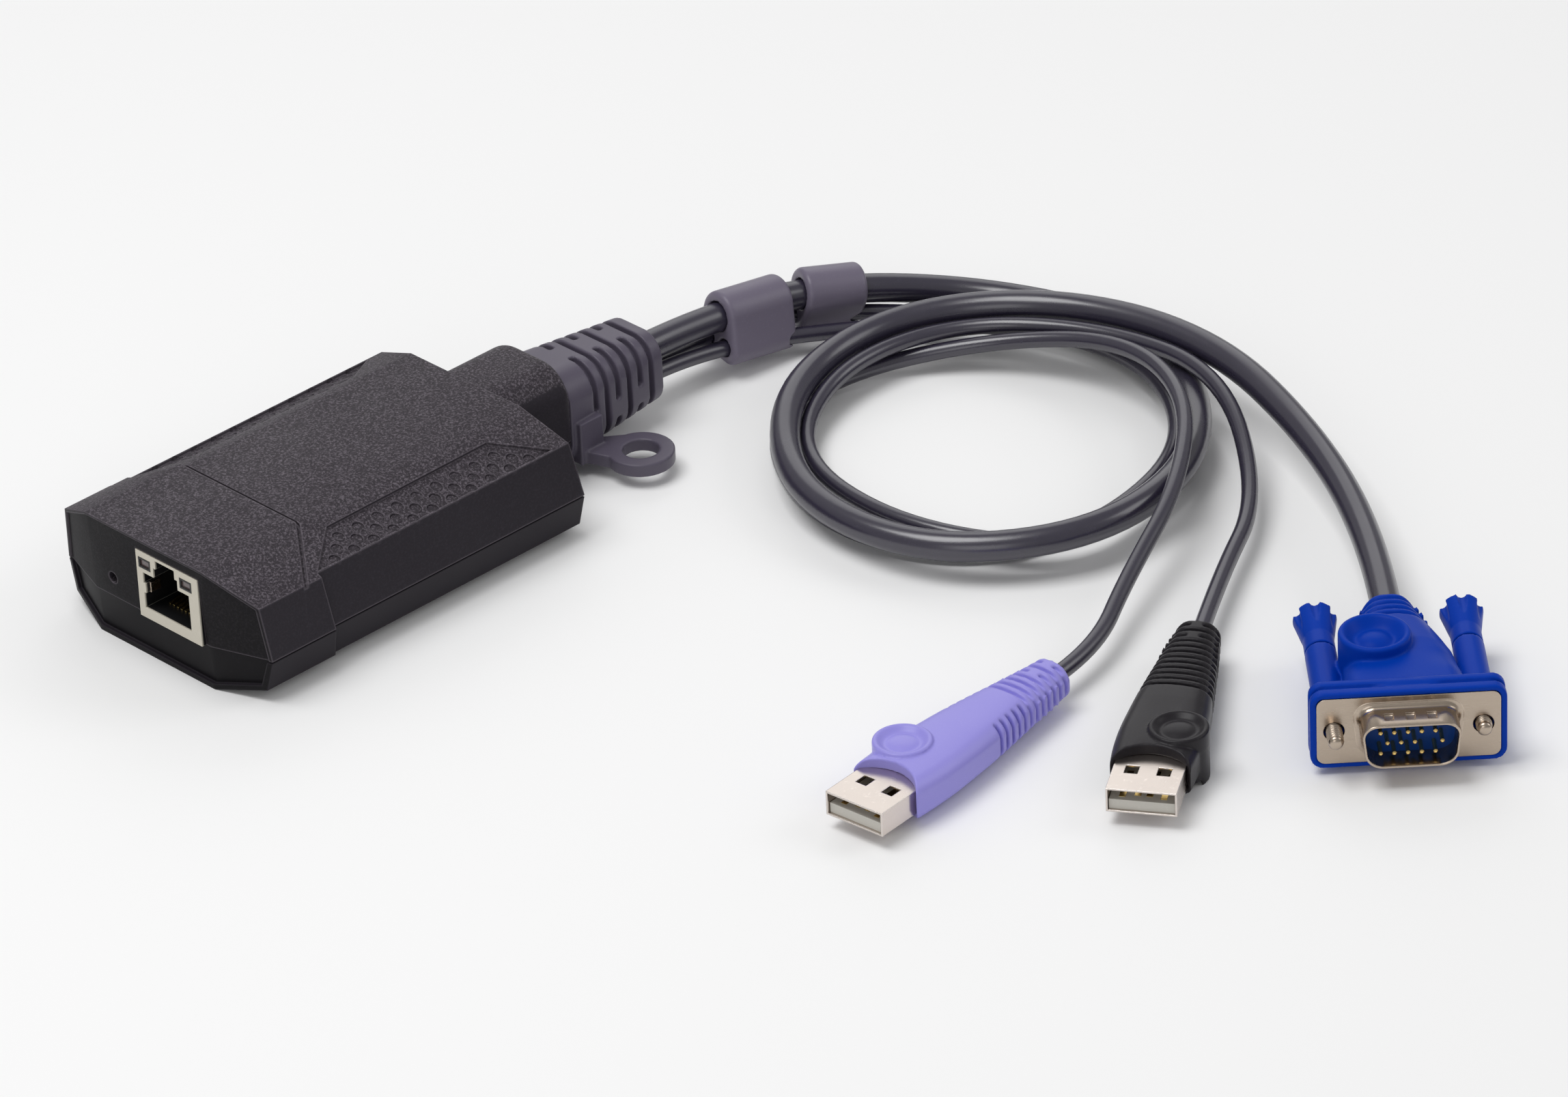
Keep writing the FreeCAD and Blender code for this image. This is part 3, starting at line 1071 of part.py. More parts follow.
def vga_hood():
    """Moulded body of the VGA plug: bezel, groove, flange, hood, boss and screw barrels."""
    hx, hz = VGA_WIDTH / 2, VGA_HEIGHT / 2
    y1 = VGA_BEZEL
    y2 = y1 + VGA_GROOVE
    y3 = y2 + VGA_FLANGE
    d = VGA_GROOVE_DEPTH
    shoulder = (HOOD_SHOULDER_AT, HOOD_SHOULDER_HALF, HOOD_SHOULDER_THICKNESS / 2, 3.5)
    parts = [
        rounded_slab(0, y1, hx, hz, VGA_CORNER),
        rounded_slab(y1 - 0.01, y2 + 0.01, hx - d, hz - d, VGA_CORNER - d * 0.5),
        rounded_slab(y2, y3, hx, hz, VGA_CORNER),
        rounded_loft((y3 - 0.01, HOOD_HALF, HOOD_THICKNESS / 2, 3.5), shoulder, vga_place),
        rounded_loft(shoulder, (VGA_LENGTH, HOOD_END_HALF, HOOD_END_THICKNESS / 2, 2.6),
                     vga_place),
        cylinder((VGA_BOSS_OFFSET, VGA_BOSS_AT, 0), (0, 0, 1), VGA_BOSS_RADIUS, 2 * VGA_Z),
        rounded_slab(y3 - 0.01, y3 + 9, SCREW_SPACING / 2, 1.2, 1.0),
    ]
    for side in (-1, 1):
        parts.append(cylinder((side * SCREW_SPACING / 2, y3 - 0.5, VGA_Z), (0, 1, 0),
                              BARREL_RADIUS, BARREL_END - y3 + 0.5))
    body = fused(parts)
    tools = []
    for side in (-1, 1):
        tools.append(cylinder((side * SCREW_SPACING / 2, -1, VGA_Z), (0, 1, 0),
                              ROD_RADIUS + ROD_GAP, BARREL_END + 3))
    run = VGA_LENGTH - HOOD_SHOULDER_AT
    slope = (HOOD_SHOULDER_HALF - HOOD_END_HALF) / run
    slope_z = (HOOD_SHOULDER_THICKNESS - HOOD_END_THICKNESS) / 2 / run
    for number in range(HOOD_RIBS):
        y0 = VGA_LENGTH - 1.1 - HOOD_RIB_SLOT - number * HOOD_RIB_PITCH
        past = y0 - HOOD_SHOULDER_AT
        half_x = HOOD_SHOULDER_HALF - slope * past - HOOD_RIB_DEPTH
        half_z = HOOD_SHOULDER_THICKNESS / 2 - slope_z * past - HOOD_RIB_DEPTH
        slab = block(-10, 10, y0, y0 + HOOD_RIB_SLOT, VGA_Z - 9, VGA_Z + 9)
        core = rounded_slab(y0 - 1, y0 + HOOD_RIB_SLOT + 1, half_x, half_z, 2.0)
        tools.append(slab.cut(core))
    for face_z, way in ((2 * VGA_Z, -1), (0.0, 1)):
        start = face_z - way * 0.5
        moat_radius = VGA_BOSS_RADIUS - VGA_BOSS_RING
        centre = (VGA_BOSS_OFFSET, VGA_BOSS_AT, start)
        moat = cylinder(centre, (0, 0, way), moat_radius, VGA_BOSS_MOAT_DEPTH + 0.5)
        island = cylinder(centre, (0, 0, way), moat_radius - VGA_BOSS_MOAT,
                          VGA_BOSS_MOAT_DEPTH + 0.5)
        flush = cylinder(centre, (0, 0, way), moat_radius - VGA_BOSS_MOAT + 0.01, 0.9)
        tools += [moat.cut(island), flush]
    tools.append(rounded_slab(-1, PLATE_THICKNESS, PLATE_WIDTH / 2, PLATE_HEIGHT / 2, 1.2))
    return body.cut(tools)


def vga_shell():
    """Metal plate with its D-shaped shell and three stamped dimples."""
    plate = rounded_slab(0, PLATE_THICKNESS, PLATE_WIDTH / 2, PLATE_HEIGHT / 2, 1.2)
    shell = d_prism(-D_REACH, PLATE_THICKNESS, 0)
    body = fused([plate, shell])
    tools = [d_prism(-D_REACH - 1, PLATE_THICKNESS + 1, D_WALL)]
    for side in (-1, 1):
        tools.append(cylinder((side * SCREW_SPACING / 2, -1, VGA_Z), (0, 1, 0),
                              ROD_RADIUS + ROD_GAP, 4))
    wide, deep, sunk = D_DENT
    top = VGA_Z + D_HEIGHT / 2
    for u in D_DENTS:
        tools.append(block(u - wide / 2, u + wide / 2, -D_REACH / 2 - deep / 2,
                           -D_REACH / 2 + deep / 2, top - sunk, top + 1))
    return body.cut(tools)


def pin_places():
    """Cross-section places of the pins: rows of five, one missing in the middle row."""
    places = []
    for row in range(3):
        v = (1 - row) * VGA_PIN_ROW
        shift = 0.5 if row == 1 else 0.0
        for number in range(5):
            if row == 1 and number == 3:
                continue
            places.append(((number - 2.25 + shift) * VGA_PIN_PITCH, v))
    return places


def vga_insulator():
    """Plastic block that fills the D shell and carries the pins."""
    body = d_prism(-D_FLOOR, PLATE_THICKNESS, D_WALL)
    holes = [cylinder((u, -D_FLOOR - 1, VGA_Z + v), (0, 1, 0), VGA_PIN_RADIUS,
                      D_FLOOR + PLATE_THICKNESS + 2) for u, v in pin_places()]
    return body.cut(holes)


def vga_pins():
    """Round pins with chamfered ends."""
    solids = []
    for u, v in pin_places():
        pin = cylinder((u, -VGA_PIN_REACH, VGA_Z + v), (0, 1, 0), VGA_PIN_RADIUS,
                       VGA_PIN_REACH + PLATE_THICKNESS)
        tip = edges_where(pin, lambda c, e: c.y < -VGA_PIN_REACH + 0.01 and e.Length > 2)
        solids.append(pin.makeChamfer(VGA_PIN_RADIUS * 0.5, tip))
    return Part.makeCompound(solids)


def thumbscrew_knob(side):
    """Fluted knob that widens towards its end."""
    x = side * SCREW_SPACING / 2
    y0 = BARREL_END + KNOB_GAP
    neck = cylinder((x, y0, VGA_Z), (0, 1, 0), KNOB_NECK_RADIUS, KNOB_LENGTH * 0.35)
    flare = Part.makeCone(KNOB_NECK_RADIUS, KNOB_TIP_RADIUS, KNOB_LENGTH * 0.65,
                          Vector(x, y0 + KNOB_LENGTH * 0.35, VGA_Z), Vector(0, 1, 0))
    body = fused([neck, flare])
    tools = []
    for number in range(KNOB_LOBES):
        angle = math.radians(360 / KNOB_LOBES * (number + 0.5))
        u = x + math.cos(angle) * (KNOB_TIP_RADIUS + 0.1)
        v = VGA_Z + math.sin(angle) * (KNOB_TIP_RADIUS + 0.1)
        tools.append(cylinder((u, y0 + KNOB_LENGTH * 0.3, v), (0, 1, 0), KNOB_FLUTE_RADIUS,
                              KNOB_LENGTH))
    tools.append(cylinder((x, y0 - 1, VGA_Z), (0, 1, 0), ROD_RADIUS, ROD_INSIDE + 1))
    return body.cut(tools)


def thumbscrew_rod(side):
    """Threaded rod of a thumbscrew."""
    x = side * SCREW_SPACING / 2
    start = -ROD_REACH[side]
    end = BARREL_END + KNOB_GAP + ROD_INSIDE
    body = cylinder((x, start, VGA_Z), (0, 1, 0), ROD_RADIUS, end - start)
    tip = edges_where(body, lambda c, e: c.y < start + 0.01 and e.Length > 5)
    return body.makeChamfer(0.35, tip)


# ---------------------------------------------------------------- all nodes
def build():
    """Every node by name."""
    top, bottom = covers()
    routes = {
        "vga_cord": (THICK_ROUTE, THICK_DIAMETER),
        "purple_usb_cord": (PURPLE_ROUTE, THIN_DIAMETER),
        "black_usb_cord": (BLACK_ROUTE, THIN_DIAMETER),
    }
    nodes = {
        "top_cover": top,
        "bottom_cover": bottom,
        "cover_screws": cover_screws(),
        "main_board": main_board(),
        "processor_chip": flat_chip(CHIP_X, 0.0, CHIP_SIZE, CHIP_SIZE, CHIP_THICKNESS),
        "memory_chip": flat_chip(MEMORY_X, 0.0, *MEMORY_SIZE),
        "crystal_can": crystal_can(),
        "jack_body": jack_body(),
        "jack_shield": jack_shield(),
        "jack_contacts": jack_contacts(),
        "jack_led_left": led_block(1, LED_LENGTH, LED_INSET),
        "jack_led_right": led_block(-1, LED_LENGTH, LED_INSET),
        "reset_switch": reset_switch(),
        "reset_plunger": reset_plunger(),
        "strain_relief": strain_relief(),
    }
    paths = {}
    for name, (points, diameter) in routes.items():
        tube, path, radii = cord_tube(points, diameter)
        nodes[name] = tube
        paths[name] = path
        section = math.pi * diameter ** 2 / 4 * path.Length
        print("%s length %.1f, least bend radius %.1f, bends %s, volume ratio %.5f"
              % (name, path.Length, min(radii), " ".join("%.0f" % r for r in radii),
                 tube.Volume / section))
    held = [paths["vga_cord"], paths["black_usb_cord"], paths["purple_usb_cord"]]
    nodes["cord_clip_near"] = cord_clip(held, CLIP_NEAR_X, CLIP_NEAR_LENGTH)
    nodes["cord_clip_far"] = cord_clip(held[:2], CLIP_FAR_X, CLIP_FAR_LENGTH)
    for colour, points, boss_side, side_slots in (("purple", PURPLE_ROUTE, -1, GRIP_SIDE_SLOTS),
                                                  ("black", BLACK_ROUTE, 1, 0)):
        grip = usb_grip(boss_side, side_slots)
        nodes[colour + "_plug_grip"] = placed(grip, points, USB_LENGTH)
        nodes[colour + "_plug_shell"] = placed(usb_shell(), points, USB_LENGTH)
        nodes[colour + "_plug_tongue"] = placed(usb_tongue(), points, USB_LENGTH)
        nodes[colour + "_plug_contacts"] = placed(usb_contacts(), points, USB_LENGTH)
    vga = {
        "vga_plug_hood": vga_hood(), "vga_plug_shell": vga_shell(),
        "vga_plug_insulator": vga_insulator(), "vga_plug_pins": vga_pins(),
    }
    for word, side in (("left", -1), ("right", 1)):
        vga["thumbscrew_%s_knob" % word] = thumbscrew_knob(side)
        vga["thumbscrew_%s_rod" % word] = thumbscrew_rod(side)
    for name, shape in vga.items():
        nodes[name] = placed(shape, THICK_ROUTE, VGA_LENGTH)
    return nodes


def main():
    """Build the nodes and write one file for each."""
    os.makedirs("parts", exist_ok=True)
    for name, shape in build().items():
        solids = shape.Solids
        print("%-24s %2d solids %-5s volume %.1f" % (name, len(solids), shape.isValid(),
                                                     shape.Volume))
        if len(solids) == 1:
            shape = solids[0]
        shape.exportStep("parts/%s.step" % name)


main()
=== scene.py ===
"""Looks of the kvm dongle: finishes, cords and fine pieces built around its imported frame."""

from __future__ import annotations

import logging
import math
from contextlib import contextmanager
from dataclasses import dataclass, field
from enum import Enum
from typing import Callable, Iterator

import bmesh
import bpy
from mathutils import Matrix, Vector

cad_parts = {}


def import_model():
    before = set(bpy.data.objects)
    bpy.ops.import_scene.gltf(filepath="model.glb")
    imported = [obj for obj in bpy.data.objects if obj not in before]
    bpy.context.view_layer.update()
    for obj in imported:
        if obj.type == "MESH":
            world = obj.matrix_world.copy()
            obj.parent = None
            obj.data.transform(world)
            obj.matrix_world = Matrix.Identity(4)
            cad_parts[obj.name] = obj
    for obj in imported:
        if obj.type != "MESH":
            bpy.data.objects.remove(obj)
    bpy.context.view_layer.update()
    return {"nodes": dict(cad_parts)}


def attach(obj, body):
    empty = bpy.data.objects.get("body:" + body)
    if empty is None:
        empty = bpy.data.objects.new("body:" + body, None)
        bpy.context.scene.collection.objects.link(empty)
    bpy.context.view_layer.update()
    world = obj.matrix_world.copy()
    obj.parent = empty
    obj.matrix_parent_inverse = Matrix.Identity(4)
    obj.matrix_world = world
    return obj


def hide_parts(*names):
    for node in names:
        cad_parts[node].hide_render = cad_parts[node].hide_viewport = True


LOG = logging.getLogger("kvm_dongle")
Point = tuple[float, float, float]
Colour = tuple[float, float, float]
MM = 0.001
MERGE_DISTANCE = 2e-6
LAID_ALONG = Matrix.Rotation(math.pi / 2, 4, "Y")


class CameraPlace(Enum):
    """Numbers that place the camera, in metres and degrees."""

    POSITION = (-0.8668, -1.0251, 0.7915)
    AZIMUTH = -43.09
    ELEVATION = 30.77
    ROLL = -2.71
    LENS = 202.9


class Output(Enum):
    """Sockets that a shared effect group gives out."""

    MASK = "Mask"
    HEIGHT = "Height"


# ------------------------------------------------------------------ shader helpers
@dataclass
class Sheet:
    """A node tree being laid out, with short calls for adding and joining nodes."""

    tree: bpy.types.NodeTree

    def add(self, kind: str, **values: object) -> bpy.types.Node:
        """Add a node and set its plain properties.

        Args:
            kind: Blender's name for the node type.
            **values: Properties to set on it.

        Returns:
            The new node.
        """
        node = self.tree.nodes.new(kind)
        for name, value in values.items():
            setattr(node, name, value)
        return node

    def join(self, source: bpy.types.NodeSocket, target: bpy.types.NodeSocket) -> None:
        """Link one socket to another."""
        self.tree.links.new(source, target)

    def noise(self, vector: bpy.types.NodeSocket, scale: float, detail: float = 2.0,
              roughness: float = 0.5) -> bpy.types.NodeSocket:
        """Add a noise texture.

        Args:
            vector: Coordinates that it reads.
            scale: Features per metre.
            detail: Octaves.
            roughness: Weight of the finer octaves.

        Returns:
            The factor it gives out.
        """
        node = self.add("ShaderNodeTexNoise")
        node.inputs["Scale"].default_value = scale
        node.inputs["Detail"].default_value = detail
        node.inputs["Roughness"].default_value = roughness
        self.join(vector, node.inputs["Vector"])
        return node.outputs["Fac"]

    def ramp(self, value: bpy.types.NodeSocket, low: float, high: float,
             to_low: float = 0.0, to_high: float = 1.0) -> bpy.types.NodeSocket:
        """Map a value's range to another, held at both ends.

        Args:
            value: Socket to read.
            low: Value that gives to_low.
            high: Value that gives to_high.
            to_low: Lowest result.
            to_high: Highest result.

        Returns:
            The mapped value.
        """
        node = self.add("ShaderNodeMapRange", clamp=True)
        for name, number in (("From Min", low), ("From Max", high),
                             ("To Min", to_low), ("To Max", to_high)):
            node.inputs[name].default_value = number
        self.join(value, node.inputs["Value"])
        return node.outputs["Result"]

    def math(self, operation: str, first: object, second: object) -> bpy.types.NodeSocket:
        """Combine two values.

        Args:
            operation: Name of the maths operation.
            first: A socket or a number.
            second: A socket or a number.

        Returns:
            The result.
        """
        node = self.add("ShaderNodeMath", operation=operation)
        for slot, value in enumerate((first, second)):
            if isinstance(value, bpy.types.NodeSocket):
                self.join(value, node.inputs[slot])
            else:
                node.inputs[slot].default_value = value
        return node.outputs[0]

    def blend(self, factor: bpy.types.NodeSocket, first: object,
              second: object) -> bpy.types.NodeSocket:
        """Mix two colours.

        Args:
            factor: How much of the second shows.
            first: A colour or a colour socket.
            second: A colour or a colour socket.

        Returns:
            The mixed colour.
        """
        node = self.add("ShaderNodeMix", data_type="RGBA")
        self.join(factor, node.inputs["Factor"])
        for socket, value in zip((node.inputs[6], node.inputs[7]), (first, second)):
            if isinstance(value, bpy.types.NodeSocket):
                self.join(value, socket)
            else:
                socket.default_value = (*value, 1.0)
        return node.outputs[2]


def new_group(name: str, numbers: dict[str, float], outputs: tuple[Output, ...]) -> tuple[
        Sheet, bpy.types.Node, bpy.types.Node]:
    """Start a shader node group with a vector input and named number inputs.

    Args:
        name: Name of the group.
        numbers: Number inputs with their defaults.
        outputs: Sockets that the group gives out.

    Returns:
        The sheet, the group's input node and its output node.
    """
    tree = bpy.data.node_groups.new(name, "ShaderNodeTree")
    tree.interface.new_socket("Vector", in_out="INPUT", socket_type="NodeSocketVector")
    for label, value in numbers.items():
        socket = tree.interface.new_socket(label, in_out="INPUT", socket_type="NodeSocketFloat")
        socket.default_value = value
    for output in outputs:
        tree.interface.new_socket(output.value, in_out="OUTPUT", socket_type="NodeSocketFloat")
    sheet = Sheet(tree)
    return sheet, sheet.add("NodeGroupInput"), sheet.add("NodeGroupOutput")


def scaled(sheet: Sheet, vector: bpy.types.NodeSocket,
           factor: bpy.types.NodeSocket) -> bpy.types.NodeSocket:
    """Scale a vector by a value.

    Args:
        sheet: Tree to add to.
        vector: Vector to scale.
        factor: Value to scale it by.

    Returns:
        The scaled vector.
    """
    node = sheet.add("ShaderNodeVectorMath", operation="SCALE")
    sheet.join(vector, node.inputs[0])
    sheet.join(factor, node.inputs["Scale"])
    return node.outputs[0]


def grain_group() -> bpy.types.NodeTree:
    """Spark-eroded mould grain: pits of two sizes and a speckle mask."""
    sheet, source, result = new_group("mould_grain", {"Scale": 1000.0, "Speckle": 0.6},
                                      (Output.HEIGHT, Output.MASK))
    vector = scaled(sheet, source.outputs["Vector"], source.outputs["Scale"])
    coarse = sheet.noise(vector, 1.0, 3.0, 0.6)
    fine = sheet.noise(vector, 2.7, 2.0, 0.5)
    height = sheet.math("ADD", sheet.math("MULTIPLY", coarse, 0.65),
                        sheet.math("MULTIPLY", fine, 0.35))
    sheet.join(height, result.inputs[Output.HEIGHT.value])
    edge = sheet.add("ShaderNodeMath", operation="SUBTRACT")
    sheet.join(height, edge.inputs[0])
    sheet.join(source.outputs["Speckle"], edge.inputs[1])
    sheet.join(sheet.ramp(edge.outputs[0], -0.06, 0.08), result.inputs[Output.MASK.value])
    return sheet.tree


def handling_group() -> bpy.types.NodeTree:
    """Broad uneven sheen, as handling leaves on a moulding."""
    sheet, source, result = new_group("handling", {"Scale": 40.0}, (Output.MASK,))
    vector = scaled(sheet, source.outputs["Vector"], source.outputs["Scale"])
    broad = sheet.noise(vector, 1.0, 4.0, 0.55)
    sheet.join(sheet.ramp(broad, 0.3, 0.7), result.inputs[Output.MASK.value])
    return sheet.tree


def edge_group() -> bpy.types.NodeTree:
    """Rounded normal at sharp folds, and a mask of where a fold is."""
    sheet, source, result = new_group("fold_edge", {"Radius": 0.0003}, (Output.MASK,))
    sheet.tree.interface.new_socket("Normal", in_out="OUTPUT", socket_type="NodeSocketVector")
    bevel = sheet.add("ShaderNodeBevel", samples=6)
    sheet.join(source.outputs["Radius"], bevel.inputs["Radius"])
    plain = sheet.add("ShaderNodeNewGeometry")
    dot = sheet.add("ShaderNodeVectorMath", operation="DOT_PRODUCT")
    sheet.join(bevel.outputs["Normal"], dot.inputs[0])
    sheet.join(plain.outputs["Normal"], dot.inputs[1])
    mask = sheet.ramp(dot.outputs["Value"], 1.0, 0.93)
    sheet.join(mask, result.inputs[Output.MASK.value])
    sheet.join(bevel.outputs["Normal"], result.inputs["Normal"])
    return sheet.tree


class Zone(Enum):
    """Parts of a piece that take painted shade, picked by place or by facing: darker side walls, a
    darker jack face and a near-black inside of the port.
    """

    SIDE_WALL = "side_wall"
    JACK_FACE = "jack_face"
    PORT_INSIDE = "port_inside"


@dataclass(frozen=True)
class Patch:
    """A zone of a piece with a painted shade colour, keeping a share of the grain."""

    zone: Zone
    colour: Colour
    fleck: Colour
    grain_kept: float = 1.0

    def mask(self, sheet: Sheet) -> bpy.types.NodeSocket:
        """Lay out the nodes that find the zone.

        Args:
            sheet: The material's node tree.

        Returns:
            A value of 1 inside the zone and 0 outside.
        """
        place = sheet.add("ShaderNodeTexCoord")
        split = sheet.add("ShaderNodeSeparateXYZ")
        # Inside of the port: painted shade in the recess behind the jack's mouth.
        if self.zone is Zone.PORT_INSIDE:
            sheet.join(place.outputs["Object"], split.inputs[0])
            return sheet.ramp(split.outputs["X"], -0.05745, -0.05725)
        sheet.join(place.outputs["Normal"], split.inputs[0])
        # Side walls: painted shade where the face turns sideways.
        if self.zone is Zone.SIDE_WALL:
            return sheet.ramp(sheet.math("ABSOLUTE", split.outputs["Y"], 0.0), 0.78, 0.84)
        # Jack face: painted shade where the face turns forward.
        return sheet.ramp(split.outputs["X"], -0.80, -0.86)


@dataclass(frozen=True)
class Finish:
    """A surface finish made of grain, speckle, uneven sheen and a highlight painted along its
    folds.
    """

    name: str
    colour: Colour
    fleck: Colour
    roughness: float
    roughness_swing: float = 0.06
    metallic: float = 0.0
    grain: float = 1500.0
    depth: float = 0.02
    strength: float = 0.3
    speckle: float = 0.62
    specular: float = 0.5
    coat: float = 0.0
    brushed: bool = False
    edge_radius: float = 0.25
    # Strength of the highlight painted along folds.
    painted_edge_highlight: float = 0.35
    patches: tuple[Patch, ...] = ()

    def build(self, groups: dict[str, bpy.types.NodeTree]) -> bpy.types.Material:
        """Make the material.

        Args:
            groups: Shared effect groups by name.

        Returns:
            The finished material.
        """
        material = bpy.data.materials.new(self.name)
        material.use_nodes = True
        sheet = Sheet(material.node_tree)
        sheet.tree.nodes.clear()
        shader = sheet.add("ShaderNodeBsdfPrincipled")
        output = sheet.add("ShaderNodeOutputMaterial")
        sheet.join(shader.outputs[0], output.inputs["Surface"])
        shader.inputs["Metallic"].default_value = self.metallic
        shader.inputs["Specular IOR Level"].default_value = self.specular
        shader.inputs["Coat Weight"].default_value = self.coat
        vector = sheet.add("ShaderNodeTexCoord").outputs["Object"]
        if self.brushed:
            mapping = sheet.add("ShaderNodeMapping")
            mapping.inputs["Scale"].default_value = (1.0, 1.0, 12.0)
            sheet.join(vector, mapping.inputs["Vector"])
            vector = mapping.outputs["Vector"]
        grain = sheet.add("ShaderNodeGroup", node_tree=groups["grain"])
        grain.inputs["Scale"].default_value = self.grain
        grain.inputs["Speckle"].default_value = self.speckle
        sheet.join(vector, grain.inputs["Vector"])
        handling = sheet.add("ShaderNodeGroup", node_tree=groups["handling"])
        handling.inputs["Scale"].default_value = 45.0
        sheet.join(vector, handling.inputs["Vector"])
        colour = sheet.blend(grain.outputs[Output.MASK.value], self.colour, self.fleck)
        height = grain.outputs[Output.HEIGHT.value]
        # Each patch paints shade: a darker colour over its zone.
        for patch in self.patches:
            inside = patch.mask(sheet)
            other = sheet.blend(grain.outputs[Output.MASK.value], patch.colour, patch.fleck)
            colour = sheet.blend(inside, colour, other)
            height = sheet.math("MULTIPLY", height, sheet.ramp(inside, 0.0, 1.0, 1.0,
                                                               patch.grain_kept))
        edge = sheet.add("ShaderNodeGroup", node_tree=groups["edge"])
        edge.inputs["Radius"].default_value = self.edge_radius * MM
        # Painted highlight: the colour is lightened along folds, where the bevelled normal turns
        # away from the face's own.
        highlight_colour = tuple(min(1.0, part * 1.6 + 0.02) for part in self.fleck)
        lift = sheet.math("MULTIPLY", edge.outputs[Output.MASK.value], self.painted_edge_highlight)
        colour = sheet.blend(lift, colour, highlight_colour)
        sheet.join(colour, shader.inputs["Base Color"])
        sheet.join(sheet.ramp(handling.outputs[Output.MASK.value], 0.0, 1.0,
                              self.roughness - self.roughness_swing,
                              self.roughness + self.roughness_swing),
                   shader.inputs["Roughness"])
        bump = sheet.add("ShaderNodeBump")
        bump.inputs["Strength"].default_value = self.strength
        bump.inputs["Distance"].default_value = self.depth * MM
        sheet.join(height, bump.inputs["Height"])
        sheet.join(edge.outputs["Normal"], bump.inputs["Normal"])
        sheet.join(bump.outputs["Normal"], shader.inputs["Normal"])
        return material


